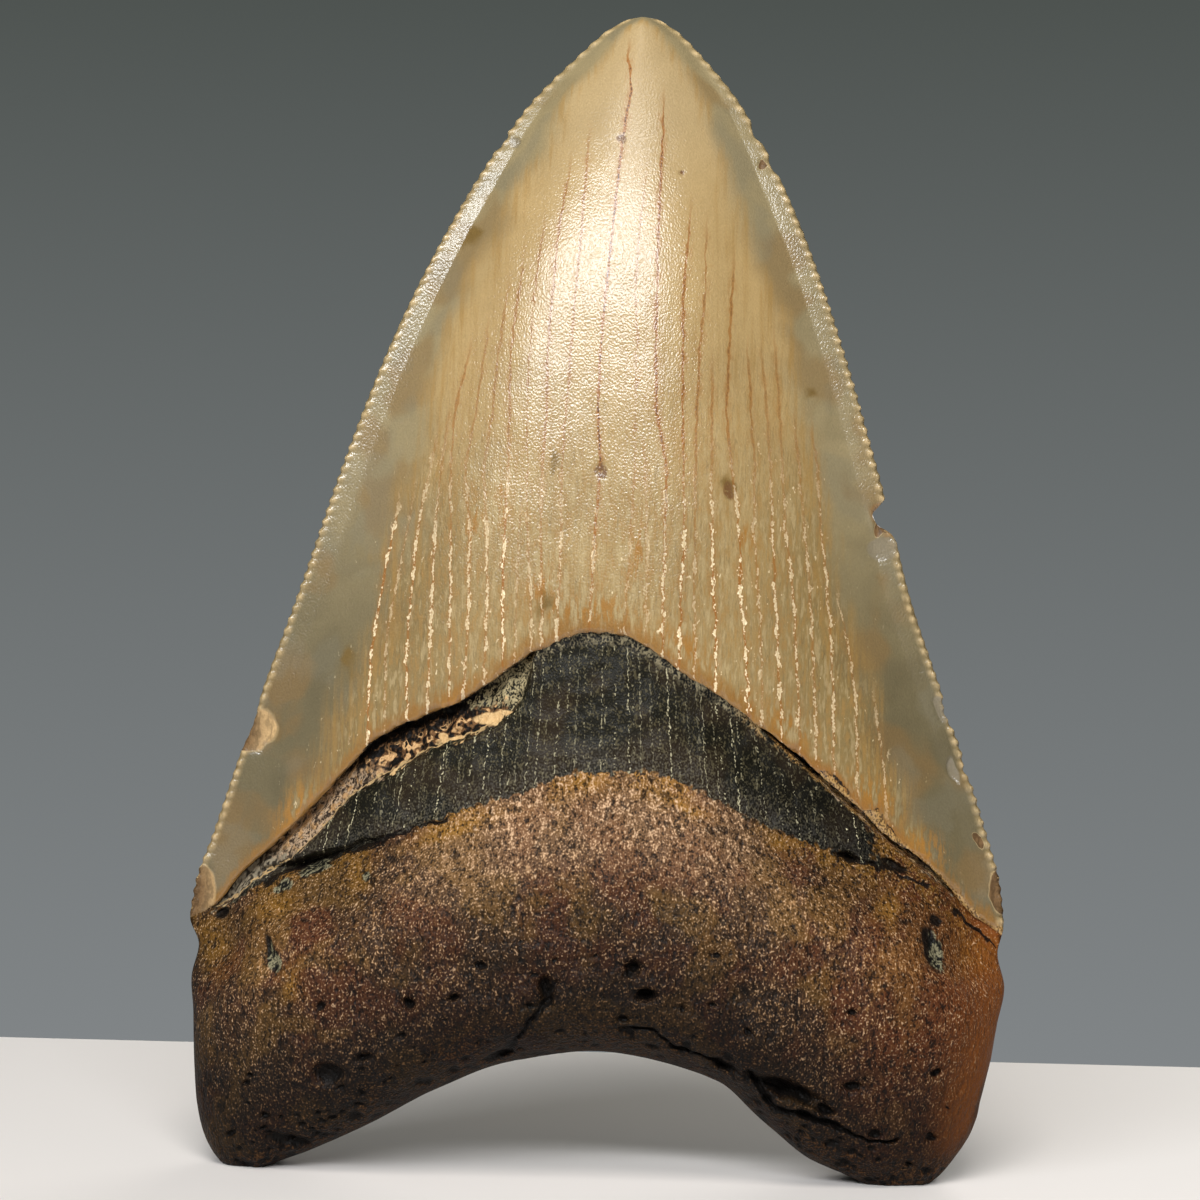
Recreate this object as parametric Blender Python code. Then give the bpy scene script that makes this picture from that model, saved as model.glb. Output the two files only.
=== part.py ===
"""A fossil megalodon tooth, standing upright on the two lobes of its root.

The tooth is one solid. It is a loft of closed rings: each ring runs across the front, from the left edge of the
tooth to the right edge, and back again behind. The lowest ring is pinched along the arched foot of the root, and
the last one along the worn tip. The front, towards -Y, is the bulging inner face of the tooth.

Lengths are in millimetres here and become metres when the mesh is made. X runs across the tooth, Z up to the tip.
"""
import bpy
import numpy as np
from mathutils import Vector, noise

MM = 0.001

# Driving dimensions
TIP_HEIGHT = 116.1
TIP_CROWN = 0.25           # how far the worn tip falls away to its two sides
CROWN_FOOT = 24.2          # where the crown meets the root at the two edges
ROOT_BULGE = 16.0          # how far the root stands in front of the plane of the cutting edges
CROWN_BULGE = 10.0         # the same for the dome of the crown, at its foot
CROWN_BACK = 7.4           # depth of the flat outer face at the foot of the crown
ROOT_BACK = 9.3
WING = 4.0                 # width of the thin wing along each cutting edge
LIP = 0.6                  # height of the step where the enamel ends above the dark band
CHIP_SINK = 1.1            # depth of the broken strip under the enamel on the left
SERRATION_PITCH = 1.2
SERRATION_DEPTH = 0.16
FOOT_RADIUS = 8.0
TIP_RADIUS = 1.3
FACES = 9400               # triangles left in the solid
ORIGIN = (-0.1, -4.56)      # x and y of the middle of the tooth's box, which becomes the origin

# The two edges seen from the front, as (height, x)
LEFT_EDGE = [(8.7, -40.1), (14.8, -40.4), (18.2, -40.8), (21.4, -40.2), (24.2, -41.2), (27.2, -40.9),
             (33.0, -39.0), (45.2, -35.0), (57.5, -30.7), (69.7, -26.7), (81.9, -22.1), (94.2, -16.3),
             (106.4, -8.8), (112.5, -3.0), (114.8, -0.4), (115.9, 1.6)]
RIGHT_EDGE = [(7.6, 39.0), (11.9, 39.7), (15.4, 40.3), (19.0, 41.0), (22.4, 40.3), (25.2, 40.9),
              (28.7, 40.6), (34.6, 39.0), (46.6, 35.0), (58.5, 30.8), (64.0, 29.4), (70.5, 27.6), (82.5, 24.0),
              (94.6, 19.6), (106.6, 13.6), (112.6, 8.8), (114.8, 6.5), (115.9, 4.7)]

# Lines across the tooth, as (x, height), from left to right
FOOT = [(-40.1, 8.7), (-39.7, 5.6), (-38.8, 2.5), (-37.4, 0.3), (-36.2, -0.7), (-35.0, -0.9), (-33.2, -0.8),
        (-31.2, 0.2), (-28.4, 1.3), (-22.1, 4.3), (-15.2, 8.1), (-8.0, 11.0), (0.8, 12.3), (4.5, 11.9),
        (12.6, 9.6), (17.3, 5.6), (21.9, 2.0), (25.0, 0.7), (27.4, -0.4), (29.2, -0.9), (32.4, -0.9),
        (34.4, 0.3), (36.4, 2.6), (38.4, 6.4), (39.5, 11.9)]
ROOT_LINE = [(-41.0, 21.8), (-37.6, 24.6), (-33.7, 28.1), (-25.1, 31.5), (-15.7, 35.1), (-8.0, 37.9),
             (-0.5, 40.3), (5.3, 40.4), (10.0, 38.9), (17.2, 35.1), (24.6, 32.5), (33.6, 29.3),
             (37.4, 24.9), (41.0, 21.8)]
ENAMEL_LINE = [(-41.1, 24.2), (-38.2, 25.8), (-35.9, 28.8), (-29.1, 35.3), (-24.7, 39.9), (-22.1, 42.6),
               (-15.6, 46.0), (-12.0, 47.7), (-6.7, 51.5), (-2.3, 53.5), (0.5, 54.0), (3.3, 53.6), (7.8, 50.8),
               (14.3, 46.4), (24.0, 38.8), (29.0, 34.2), (33.7, 30.7), (37.4, 26.6), (41.0, 24.2)]
BROKEN_LINE = [(-41.1, 24.2), (-36.4, 26.1), (-34.4, 27.9), (-30.5, 30.4), (-28.0, 32.8), (-24.1, 37.1),
               (-19.3, 39.9), (-16.1, 41.9), (-10.3, 44.2), (-7.2, 46.8), (-5.6, 52.2), (0.5, 54.0), (41.0, 24.2)]
BACK_ROOT_LINE = [(-41.0, 21.8), (-36.0, 21.0), (-24.0, 25.4), (-8.0, 29.8), (8.0, 29.9), (24.0, 25.6),
                  (36.0, 21.2), (41.0, 21.8)]
BACK_ENAMEL_LINE = [(-41.1, 24.2), (-36.0, 23.4), (-24.0, 27.8), (-8.0, 32.2), (8.0, 32.3), (24.0, 28.0),
                    (36.0, 23.6), (41.0, 24.2)]

# Depths up the middle of the tooth, as (height, part of the full depth)
ROOT_SWELL = [(0.0, 0.66), (8.0, 0.78), (16.0, 0.94), (24.0, 1.0), (32.0, 0.95), (40.0, 0.84), (60.0, 0.7)]
ROOT_BACK_SWELL = [(0.0, 0.84), (8.0, 0.95), (16.0, 1.0), (24.0, 0.96), (34.0, 0.84)]
CROWN_SWELL = [(24.0, 1.0), (40.0, 1.04), (54.0, 1.0), (70.0, 0.87), (85.0, 0.69), (100.0, 0.44),
               (110.0, 0.22), (115.9, 0.1)]
CROWN_BACK_SWELL = [(24.0, 1.0), (40.0, 0.92), (54.0, 0.76), (70.0, 0.62), (85.0, 0.5), (100.0, 0.34),
                    (110.0, 0.2), (115.9, 0.1)]
EDGE_PLANE = [(0.0, -2.6), (10.0, -2.2), (22.0, -0.7), (32.0, 0.0), (60.0, -0.4), (90.0, 0.0), (115.9, 1.4)]

# Nicks in the cutting edges: side, height, half the width and depth
NICKS = [(1, 65.7, 1.3, 1.8), (1, 104.2, 0.8, 0.5), (1, 101.0, 0.8, 0.4), (1, 46.2, 1.4, 0.4),
         (1, 40.6, 1.0, 0.3), (-1, 43.9, 2.2, 0.3), (-1, 103.2, 0.7, 0.3)]
# Hollows in the front: x, height, half-width, half-height, turn in degrees, depth
HOLLOWS = [(-33.5, 42.9, 1.8, 2.8, 16, 0.8), (-39.2, 27.2, 1.5, 2.8, 0, 0.6), (28.2, 62.4, 1.9, 3.4, 18, 1.0),
           (4.4, 22.0, 1.0, 0.9, 0, 1.6), (6.0, 19.6, 1.1, 1.0, 0, 1.8), (-3.8, 19.5, 0.5, 1.5, 10, 1.5),
           (-17.1, 17.9, 0.8, 0.8, 0, 1.2), (-12.7, 18.6, 0.7, 0.7, 0, 1.1), (19.4, 10.6, 3.6, 1.1, -18, 2.4),
           (-29.6, 3.4, 2.6, 0.9, -10, 1.4), (-28.2, 30.4, 3.6, 1.0, 14, 1.5), (33.7, 23.9, 1.3, 2.8, 18, 1.0),
           (-22.0, 10.0, 5.6, 2.4, 22, 0.9)]
# Cracks in the root: half-width, depth and the points they run through
CRACKS = [(0.5, 0.8, [(-2.9, 20.3), (-4.4, 17.7), (-7.6, 13.2)]),
          (0.45, 0.7, [(3.6, 16.1), (6.8, 15.9), (8.5, 14.1), (11.5, 13.5)]),
          (0.7, 1.3, [(15.6, 11.9), (18.3, 8.3), (22.4, 7.3), (24.4, 6.5), (27.2, 5.0), (30.1, 5.0)])]

# How the loft is divided: rows in the root, the band, the enamel lip and the crown, and columns across
ROOT_ROWS = 70
BAND_ROWS = 26
LIP_ROWS = 1
CROWN_ROWS = 330
COLUMNS = 100
LIP_RUN = 0.15             # height over which the enamel lip steps down

COLOURS = {"enamel": (0.56, 0.41, 0.23, 1.0, 0.34), "band": (0.035, 0.028, 0.018, 1.0, 0.6),
           "root": (0.13, 0.065, 0.034, 1.0, 0.62)}


def smooth(points, at):
    """Read a smooth curve without overshoot (a monotone cubic) through (place, value) points."""
    place, value = np.array(points, float).T
    step = np.diff(place)
    rise = np.diff(value) / step
    slope = np.concatenate([rise[:1], np.zeros(len(rise) - 1), rise[-1:]])
    same = np.flatnonzero(rise[:-1] * rise[1:] > 0)
    slope[same + 1] = 2 * rise[same] * rise[same + 1] / (rise[same] + rise[same + 1])
    at = np.clip(at, place[0], place[-1])
    i = np.clip(np.searchsorted(place, at, side="right") - 1, 0, len(step) - 1)
    s = (at - place[i]) / step[i]
    ends = value[i] * (1 + 2 * s) * (1 - s) ** 2 + value[i + 1] * s * s * (3 - 2 * s)
    return ends + step[i] * s * (1 - s) * (slope[i] * (1 - s) - slope[i + 1] * s)


def ease(low, high, at):
    """Rise smoothly from 0 at low to 1 at high."""
    t = np.clip((at - low) / (high - low), 0, 1)
    return t * t * (3 - 2 * t)


def across(height):
    """Middle and half-width of the tooth at a height."""
    left, right = smooth(LEFT_EDGE, height), smooth(RIGHT_EDGE, height)
    return (left + right) / 2, (right - left) / 2


def line(points, u):
    """Height of a line across the tooth at the column u, which is -1 at the left edge and 1 at the right."""
    x, height = np.array(points, float).T
    middle, half = across(height)
    place = (x - middle) / half
    place[0], place[-1] = -1, 1
    return smooth(np.stack([place, height], 1), u)


def round_off(depth, radius, power):
    """Grow from 0 at a rim to 1 at a radius inside it, as a rounded edge does."""
    t = np.clip(depth / radius, 0, 1)
    return (1 - (1 - t) ** power) ** (1 / power)


def wedge(u, half):
    """Depth of the thin wing along the cutting edge."""
    inward = (1 - np.abs(u)) * half
    return 1.5 * (1 - np.exp(-inward / 4.6))


def crown_front(u, z):
    half = across(z)[1]
    wing = np.minimum(WING, 0.25 * half)
    inner = np.clip(np.abs(u) * half / (half - wing), 0, 1)
    dome = CROWN_BULGE * smooth(CROWN_SWELL, z) * (1 - inner ** 2) ** 1.15
    return dome + wedge(u, half)


def crown_back(u, z):
    half = across(z)[1]
    dome = CROWN_BACK * smooth(CROWN_BACK_SWELL, z) * (1 - u ** 2) ** 1.05
    return 0.8 * dome + wedge(u, half)


def root_front(u, z):
    """The root swells out below its upper line, and the line itself is a little proud of the crown."""
    top = line(ROOT_LINE, u)
    start = crown_front(u, line(ENAMEL_LINE, u)) + 1.7 * (1 - u ** 2) ** 0.5
    full = ROOT_BULGE * smooth(ROOT_SWELL, z) * (1 - np.abs(u) ** 2.3) ** 0.5
    return start + (full - start) * ease(-1.5, 10.5, top - z)


def root_back(u, z):
    top = line(BACK_ROOT_LINE, u)
    start = crown_back(u, top) - 0.4
    full = ROOT_BACK * smooth(ROOT_BACK_SWELL, z) * (1 - np.abs(u) ** 2.3) ** 0.5
    channel = 1.8 * np.exp(-(u / 0.3) ** 2)
    return start + (full - channel - start) * ease(-0.5, 8.5, top - z)


def hollow_depth(x, z):
    """Depth of the pits, nutrient holes and chips at a place on the front."""
    depth = np.zeros_like(x)
    for at_x, at_z, wide, high, turn, deep in HOLLOWS:
        c, s = np.cos(np.radians(turn)), np.sin(np.radians(turn))
        p = ((x - at_x) * c + (z - at_z) * s) / wide
        q = ((z - at_z) * c - (x - at_x) * s) / high
        depth = np.maximum(depth, deep * np.exp(-(p * p + q * q) ** 1.6))
    return depth


def crack_depth(x, z):
    """Depth of the open cracks of the root at a place on the front."""
    depth = np.zeros_like(x)
    for wide, deep, points in CRACKS:
        for (ax, az), (bx, bz) in zip(points, points[1:]):
            run_x, run_z = bx - ax, bz - az
            t = np.clip(((x - ax) * run_x + (z - az) * run_z) / (run_x ** 2 + run_z ** 2), 0, 1)
            away = np.hypot(x - ax - t * run_x, z - az - t * run_z)
            depth = np.maximum(depth, deep * np.clip(1 - away / wide, 0, 1))
    return depth


def bumps(x, y, z, size, seed):
    """Even noise of about -1 to 1 at each point, with lumps of the given size."""
    points = np.stack([x, y, z], -1).reshape(-1, 3) / size + seed
    return np.array([noise.noise(Vector(p)) for p in points]).reshape(x.shape)


def edge_cut(side, z):
    """How far an edge is cut back at a height by its serrations and nicks."""
    run = 1.08 * z
    teeth = 0.5 - 0.5 * np.cos(2 * np.pi * run / SERRATION_PITCH + 0.9 * np.sin(run / 5.3 + side))
    worn = 0.65 + 0.35 * np.sin(run / 7.1 + 2 * side)
    cut = SERRATION_DEPTH * teeth * worn * ease(CROWN_FOOT - 0.5, CROWN_FOOT + 2.5, z)
    for nick_side, at, wide, deep in NICKS:
        cut = cut + (nick_side == side) * deep * np.exp(-np.abs((z - at) / wide) ** 2.5)
    return cut


def rows(levels, counts):
    """Heights of all rows: the levels, and between them the counts of rows, closer together near the foot."""
    heights = [levels[0][None, :]]
    for lower, upper, count in zip(levels, levels[1:], counts):
        steps = np.arange(1, count + 1)[:, None] / count
        if lower is levels[0]:
            steps = steps ** 1.5
        heights.append(lower + (upper - lower) * steps)
    return np.vstack(heights)


def sheet(front):
    """Points of the front or the back of the tooth, as an array of rows of columns."""
    t = np.linspace(-1, 1, COLUMNS + 1)
    u = 0.3 * t + 0.7 * np.sin(t * np.pi / 2)
    foot = line(FOOT, u)
    root_top = line(ROOT_LINE if front else BACK_ROOT_LINE, u)
    enamel = line(ENAMEL_LINE if front else BACK_ENAMEL_LINE, u)
    tip = TIP_HEIGHT - TIP_CROWN * u ** 2
    levels = [foot, root_top, enamel - LIP_RUN, enamel, tip]
    z = rows(levels, (ROOT_ROWS, BAND_ROWS, LIP_ROWS, CROWN_ROWS))
    u = np.broadcast_to(u, z.shape)
    middle, half = across(z)
    x = middle + u * half
    is_crown = z > enamel - LIP_RUN / 2
    above = ease(root_top, enamel - LIP_RUN, z)
    if front:
        band = root_front(u, z) * (1 - above) + crown_front(u, enamel) * above - LIP * above
        broken = ease(-0.3, 0.5, z - line(BROKEN_LINE, u)) * (line(BROKEN_LINE, u) < enamel - 0.2)
        band = band - CHIP_SINK * broken
        depth = np.where(is_crown, crown_front(u, z), band)
    else:
        band = root_back(u, z) * (1 - above) + (crown_back(u, enamel) - LIP) * above
        depth = np.where(is_crown, crown_back(u, z), band)
    inside = np.minimum(1, (1 - np.abs(u)) * half / 3)
    rough = 0.42 * bumps(x, z, 0 * z + front, 5.5, 3.1) + 0.25 * bumps(x, z, 0 * z + front, 2.2, 8.7)
    depth = depth + rough * inside * np.where(is_crown, 0.12, 1.0)
    if front:
        depth = depth - (hollow_depth(x, z) + crack_depth(x, z)) * inside
    depth = np.maximum(depth, 0.15 * inside)
    depth = depth * round_off(z - foot, FOOT_RADIUS, 3.0) * round_off(tip - z, TIP_RADIUS, 2.3)
    side = np.sign(u)
    cut = np.where(u < 0, edge_cut(-1, z), edge_cut(1, z))
    x = x - side * cut * np.clip(1 - (1 - np.abs(u)) * half / 2.2, 0, 1) ** 1.5
    y = smooth(EDGE_PLANE, z) + (-depth if front else depth)
    return np.stack([x - ORIGIN[0], y - ORIGIN[1], z], -1), is_crown, above > 0.02


def tooth_mesh():
    """Join the two sheets along their shared rim into one closed mesh, with a material for each face."""
    front, crown, band = sheet(True)
    back, back_crown, back_band = sheet(False)
    high, wide = front.shape[:2]
    front_id = np.arange(high * wide).reshape(high, wide)
    back_id = front_id.copy()
    back_id[1:-1, 1:-1] = high * wide + np.arange((high - 2) * (wide - 2)).reshape(high - 2, wide - 2)
    points = np.concatenate([front.reshape(-1, 3), back[1:-1, 1:-1].reshape(-1, 3)]) * MM
    faces, slots = [], []
    for ids, is_crown, is_band in ((front_id, crown, band), (back_id[:, ::-1], back_crown, back_band)):
        quads = np.stack([ids[:-1, :-1], ids[:-1, 1:], ids[1:, 1:], ids[1:, :-1]], -1).reshape(-1, 4)
        faces += quads.tolist()
        slot = np.where(is_crown[:-1, :-1], 0, np.where(is_band[:-1, :-1], 1, 2))
        slots += (slot if ids is front_id else slot[:, ::-1]).ravel().tolist()
    mesh = bpy.data.meshes.new("tooth")
    mesh.from_pydata(points.tolist(), [], faces)
    mesh.polygons.foreach_set("material_index", slots)
    return mesh


def material(name):
    """A plain material of the region's colour and roughness."""
    *colour, roughness = COLOURS[name]
    made = bpy.data.materials.new(name)
    made.use_nodes = True
    shader = made.node_tree.nodes["Principled BSDF"]
    shader.inputs["Base Color"].default_value = colour
    shader.inputs["Roughness"].default_value = roughness
    shader.inputs["Metallic"].default_value = 0.0
    return made


def collection(name):
    made = bpy.data.collections.new(name)
    bpy.context.scene.collection.children.link(made)
    return made


def ground_cutter(place):
    """A block below Z = 0 that cuts the two lobes flat, so that the tooth stands."""
    bpy.ops.mesh.primitive_cube_add(size=1, location=(0, 0, -10 * MM))
    block = bpy.context.object
    block.name = "ground_cut"
    block.scale = (120 * MM, 60 * MM, 20 * MM)
    for owner in list(block.users_collection):
        owner.objects.unlink(block)
    place.objects.link(block)
    block.hide_render = True
    block.display_type = "WIRE"
    return block


def build_tooth(place, block):
    """The tooth: a fine loft, thinned to the faces its shape needs and cut flat where it stands."""
    tooth = bpy.data.objects.new("tooth", tooth_mesh())
    place.objects.link(tooth)
    for name in COLOURS:
        tooth.data.materials.append(material(name))
    tooth.data.shade_smooth()
    triangles = 2 * len(tooth.data.polygons)
    thin = tooth.modifiers.new("thin", "DECIMATE")
    thin.ratio = FACES / triangles
    flat = tooth.modifiers.new("flat", "BOOLEAN")
    flat.operation = "DIFFERENCE"
    flat.object = block
    return tooth


def main():
    for old in list(bpy.data.objects):
        bpy.data.objects.remove(old)
    block = ground_cutter(collection("cutters"))
    build_tooth(collection("fossil_megalodon_tooth"), block)


main()
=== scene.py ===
import bpy
import numpy as np
from mathutils import Matrix, Vector, noise


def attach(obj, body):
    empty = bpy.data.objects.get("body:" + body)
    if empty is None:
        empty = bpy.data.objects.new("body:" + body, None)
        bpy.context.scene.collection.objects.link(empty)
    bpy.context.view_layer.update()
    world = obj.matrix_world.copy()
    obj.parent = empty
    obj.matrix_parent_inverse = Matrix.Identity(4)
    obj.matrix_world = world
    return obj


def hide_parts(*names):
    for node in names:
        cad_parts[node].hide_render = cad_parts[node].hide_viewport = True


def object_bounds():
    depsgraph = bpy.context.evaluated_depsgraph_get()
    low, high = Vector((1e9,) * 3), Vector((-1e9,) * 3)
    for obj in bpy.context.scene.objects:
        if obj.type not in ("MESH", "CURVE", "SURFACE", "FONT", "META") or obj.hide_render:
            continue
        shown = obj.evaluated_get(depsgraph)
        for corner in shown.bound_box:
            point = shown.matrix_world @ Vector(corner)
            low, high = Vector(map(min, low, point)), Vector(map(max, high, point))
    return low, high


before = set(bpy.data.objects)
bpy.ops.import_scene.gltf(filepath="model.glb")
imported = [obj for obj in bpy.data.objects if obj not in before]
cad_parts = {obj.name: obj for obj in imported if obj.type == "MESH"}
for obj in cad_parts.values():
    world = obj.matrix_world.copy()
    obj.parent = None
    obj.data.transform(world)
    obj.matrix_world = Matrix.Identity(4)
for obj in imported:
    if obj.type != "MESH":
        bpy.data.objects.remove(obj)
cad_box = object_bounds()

MM = 0.001
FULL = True

# The tooth's sizes in millimetres: heights from the ground, depths from the plane of the cutting edges
TIP_HEIGHT = 116.1
TIP_CROWN = 0.25
CROWN_FOOT = 24.2
ROOT_BULGE = 16.0
CROWN_BULGE = 10.0
CROWN_BACK = 7.4
ROOT_BACK = 9.3
WING = 4.0
LIP = 0.25
TORN_SINK = 1.1
SERRATION_PITCH = 1.2
SERRATION_DEPTH = 0.2
FOOT_RADIUS = 9.0
TIP_RADIUS = 1.3
LIP_RUN = 0.15
WING_DEPTH, WING_REACH = 1.5, 4.6  # the thin wing along each cutting edge
ROOT_STEP = 1.7  # how proud of the crown the root's upper line is
ROOT_POWER = 2.3  # how squarely the sides of the root are rounded
CHANNEL_DEPTH, CHANNEL_WIDTH = 1.8, 0.3  # the groove down the back of the root, the width as a part of half
SLANT = 1.08  # length along an edge for each millimetre of height
PITCH_SHIFT, SHIFT_RUN = 0.9, 5.3  # how the serrations crowd and spread along an edge
ORIGIN = (-0.1, -4.56)  # x and y of the frame's origin in these measures

# The two edges seen from the front, as (height, x)
LEFT_EDGE = [
    (8.7, -40.1), (14.8, -40.4), (18.2, -40.8), (21.4, -40.2), (24.2, -41.2), (27.2, -40.9), (33, -39),
    (45.2, -35), (57.5, -30.7), (69.7, -26.7), (81.9, -22.1), (94.2, -16.3), (106.4, -8.8), (112.5, -3),
    (114.8, -0.4), (115.9, 1.6)]
RIGHT_EDGE = [
    (7.6, 39), (11.9, 39.7), (15.4, 40.3), (19, 41), (22.4, 40.3), (25.2, 40.9), (28.7, 40.6),
    (34.6, 39), (46.6, 35), (58.5, 30.8), (64, 29.4), (70.5, 27.6), (82.5, 24), (94.6, 19.6),
    (106.6, 13.6), (112.6, 8.8), (114.8, 6.5), (115.9, 4.7)]

# Lines across the tooth, as (x, height), from left to right
FOOT = [
    (-40.1, 8.7), (-39.7, 5.6), (-38.8, 2.5), (-37.4, 0.3), (-36.2, -0.7), (-35, -0.9), (-33.2, -0.8),
    (-31.2, 0.2), (-28.4, 1.3), (-22.1, 4.3), (-15.2, 8.1), (-8, 11), (0.8, 12.3), (4.5, 11.9),
    (12.6, 9.6), (17.3, 5.6), (21.9, 2), (25, 0.7), (27.4, -0.4), (29.2, -0.9), (32.4, -0.9), (34.4, 0.3),
    (36.4, 2.6), (38.4, 6.4), (39.5, 11.9)]
ROOT_LINE = [
    (-41, 21.8), (-37.6, 24.6), (-33.7, 28.1), (-25.1, 31.5), (-15.7, 35.1), (-8, 37.9), (-0.5, 40.3),
    (5.3, 40.4), (10, 38.9), (17.2, 35.1), (24.6, 32.5), (33.6, 29.3), (37.4, 24.9), (41, 21.8)]
ENAMEL_LINE = [
    (-41.1, 24.2), (-38.2, 25.8), (-35.9, 28.8), (-29.1, 35.3), (-24.7, 39.9), (-22.1, 42.6), (-15.6, 46),
    (-12, 47.7), (-6.7, 51.5), (-2.3, 53.5), (0.5, 54), (3.3, 53.6), (7.8, 50.8), (14.3, 46.4),
    (24, 38.8), (29, 34.2), (33.7, 30.7), (37.4, 26.6), (41, 24.2)]
BROKEN_LINE = [
    (-41.1, 24.2), (-36.4, 26.1), (-34.4, 27.9), (-30.5, 30.4), (-28, 32.8), (-24.1, 37.1), (-19.3, 39.9),
    (-16.1, 41.9), (-10.3, 44.2), (-7.2, 46.8), (-5.6, 52.2), (0.5, 54), (41, 24.2)]
BACK_ROOT_LINE = [
    (-41, 21.8), (-36, 21), (-24, 25.4), (-8, 29.8), (8, 29.9), (24, 25.6), (36, 21.2),
    (41, 21.8)]
BACK_ENAMEL_LINE = [
    (-41.1, 24.2), (-36, 23.4), (-24, 27.8), (-8, 32.2), (8, 32.3), (24, 28), (36, 23.6),
    (41, 24.2)]

# Depths up the middle of the tooth, as (height, part of the full depth)
ROOT_SWELL = [(0, 0.66), (8, 0.78), (16, 0.94), (24, 1), (32, 0.95), (40, 0.84), (60, 0.7)]
ROOT_BACK_SWELL = [(0, 0.84), (8, 0.95), (16, 1), (24, 0.96), (34, 0.84)]
CROWN_SWELL = [
    (24, 1), (40, 1.04), (54, 1), (70, 0.87), (85, 0.69), (100, 0.44), (110, 0.22),
    (115.9, 0.1)]
CROWN_BACK_SWELL = [
    (24, 1), (40, 0.92), (54, 0.76), (70, 0.62), (85, 0.5), (100, 0.34), (110, 0.2),
    (115.9, 0.1)]
EDGE_PLANE = [(0, -2.6), (10, -2.2), (22, -0.7), (32, 0), (60, -0.4), (90, 0), (115.9, 1.4)]

# Nicks in the cutting edges: side (-1 left, 1 right), height, half the width and depth
NICKS = [
    (1, 65.7, 1.3, 1.8), (1, 104.2, 0.8, 0.5), (1, 101, 0.8, 0.4), (1, 46.2, 1.4, 0.4), (1, 40.6, 1, 0.3),
    (-1, 43.9, 2.2, 0.3), (-1, 103.2, 0.7, 0.3)]
# Chips flaked off the enamel: x, height, half-width, half-height, turn in degrees, depth
PALE_CHIPS = [
    (-35.3, 43.3, 2.7, 2.1, 16, 0.5), (-40.7, 26.6, 1.9, 2.9, -8, 0.6), (40.6, 28.5, 1.2, 2.2, 6, 0.25),
    (38.2, 33.6, 0.4, 0.8, 18, 0.1), (27.9, 65.2, 0.45, 1.5, -14, 0.3), (15.3, 101, 0.4, 0.6, 0, 0.3)]
GLASSY_CHIPS = [
    (28.2, 62.6, 1.5, 1.2, 14, 0.15), (-9.6, 103.1, 0.5, 0.5, 0, 0.3), (35.6, 40.6, 0.5, 1.2, 20, 0.4),
    (34.3, 46.6, 0.6, 1.4, 18, 0.3)]
# Pits and nutrient holes in the root: the same measures
HOLES = [
    (4.5, 22, 0.7, 0.65, 0, 1.6), (5.8, 19.4, 0.85, 0.6, 0, 1.9), (-3.8, 19.6, 0.5, 1.5, 12, 1.7),
    (-17.1, 17.9, 0.55, 0.55, 0, 1.3), (-12.7, 18.6, 0.4, 0.4, 0, 1), (19.2, 10.3, 3.3, 0.8, -20, 2.4),
    (-29.4, 3.2, 2.5, 0.75, -12, 1.4), (-28.6, 30.3, 4.6, 0.6, 14, 1.9), (33.2, 23.6, 0.8, 2.5, 16, 1),
    (-24.8, 10.6, 1.6, 1, 15, 1.1), (25.2, 32.1, 1, 0.5, -20, 1.2), (-37.6, 24.7, 0.9, 0.6, 20, 1.2),
    (-31.4, 22.2, 0.5, 1.7, 24, 0.7), (9.2, 18.2, 0.4, 0.35, 0, 0.8), (-9.8, 21.9, 0.35, 0.35, 0, 0.7),
    (23.2, 8.2, 1, 0.6, -30, 1.4), (13.4, 12.4, 1.5, 0.6, -25, 1.4), (-8.8, 12.6, 1.6, 0.5, 25, 1.6),
    (25.6, 10.6, 0.9, 0.5, 10, 1), (33.8, 11.6, 0.6, 0.45, 20, 0.9), (25.4, 17.9, 0.7, 0.3, 20, 0.7),
    (33.7, 25.9, 0.7, 0.6, 0, 0.8), (29.6, 31.3, 1.6, 0.4, -25, 1), (-21.5, 12.4, 0.8, 0.5, 20, 0.9)]
PORES = 230  # small pores near the arch of the root, on each face
# Open cracks in the root: half-width, depth and the points they run through
CRACKS = [(0.3, 0.9, [(-2.9, 20.3), (-3.6, 18.9), (-4.4, 17.7), (-6.3, 15.2), (-7.6, 13.2)]),
          (0.24, 0.8, [(3.6, 16.1), (6.8, 15.9), (8.5, 14.1), (11.5, 13.5), (13.2, 12.4)]),
          (0.36, 1.3, [(15.6, 11.9), (18.3, 8.3), (22.4, 7.3), (24.4, 6.5)]),
          (0.22, 1, [(24.4, 6.5), (27.2, 5), (30.1, 5)]),
          (0.62, 1.2, [(-33.6, 28), (-31.6, 29.3), (-27.6, 30.9), (-23.4, 32.2), (-20.4, 33.2)]),
          (0.24, 0.5, [(-20.4, 33.2), (-17, 34.5), (-14, 35.4)]),
          (0.36, 0.8, [(23.8, 32.4), (26.4, 31.9), (29.4, 30.9)]),
          (0.16, 0.4, [(29.4, 30.9), (33.2, 29.2)]), (0.14, 0.4, [(35.6, 26.9), (38, 24.8), (40.2, 23)])]

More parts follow.
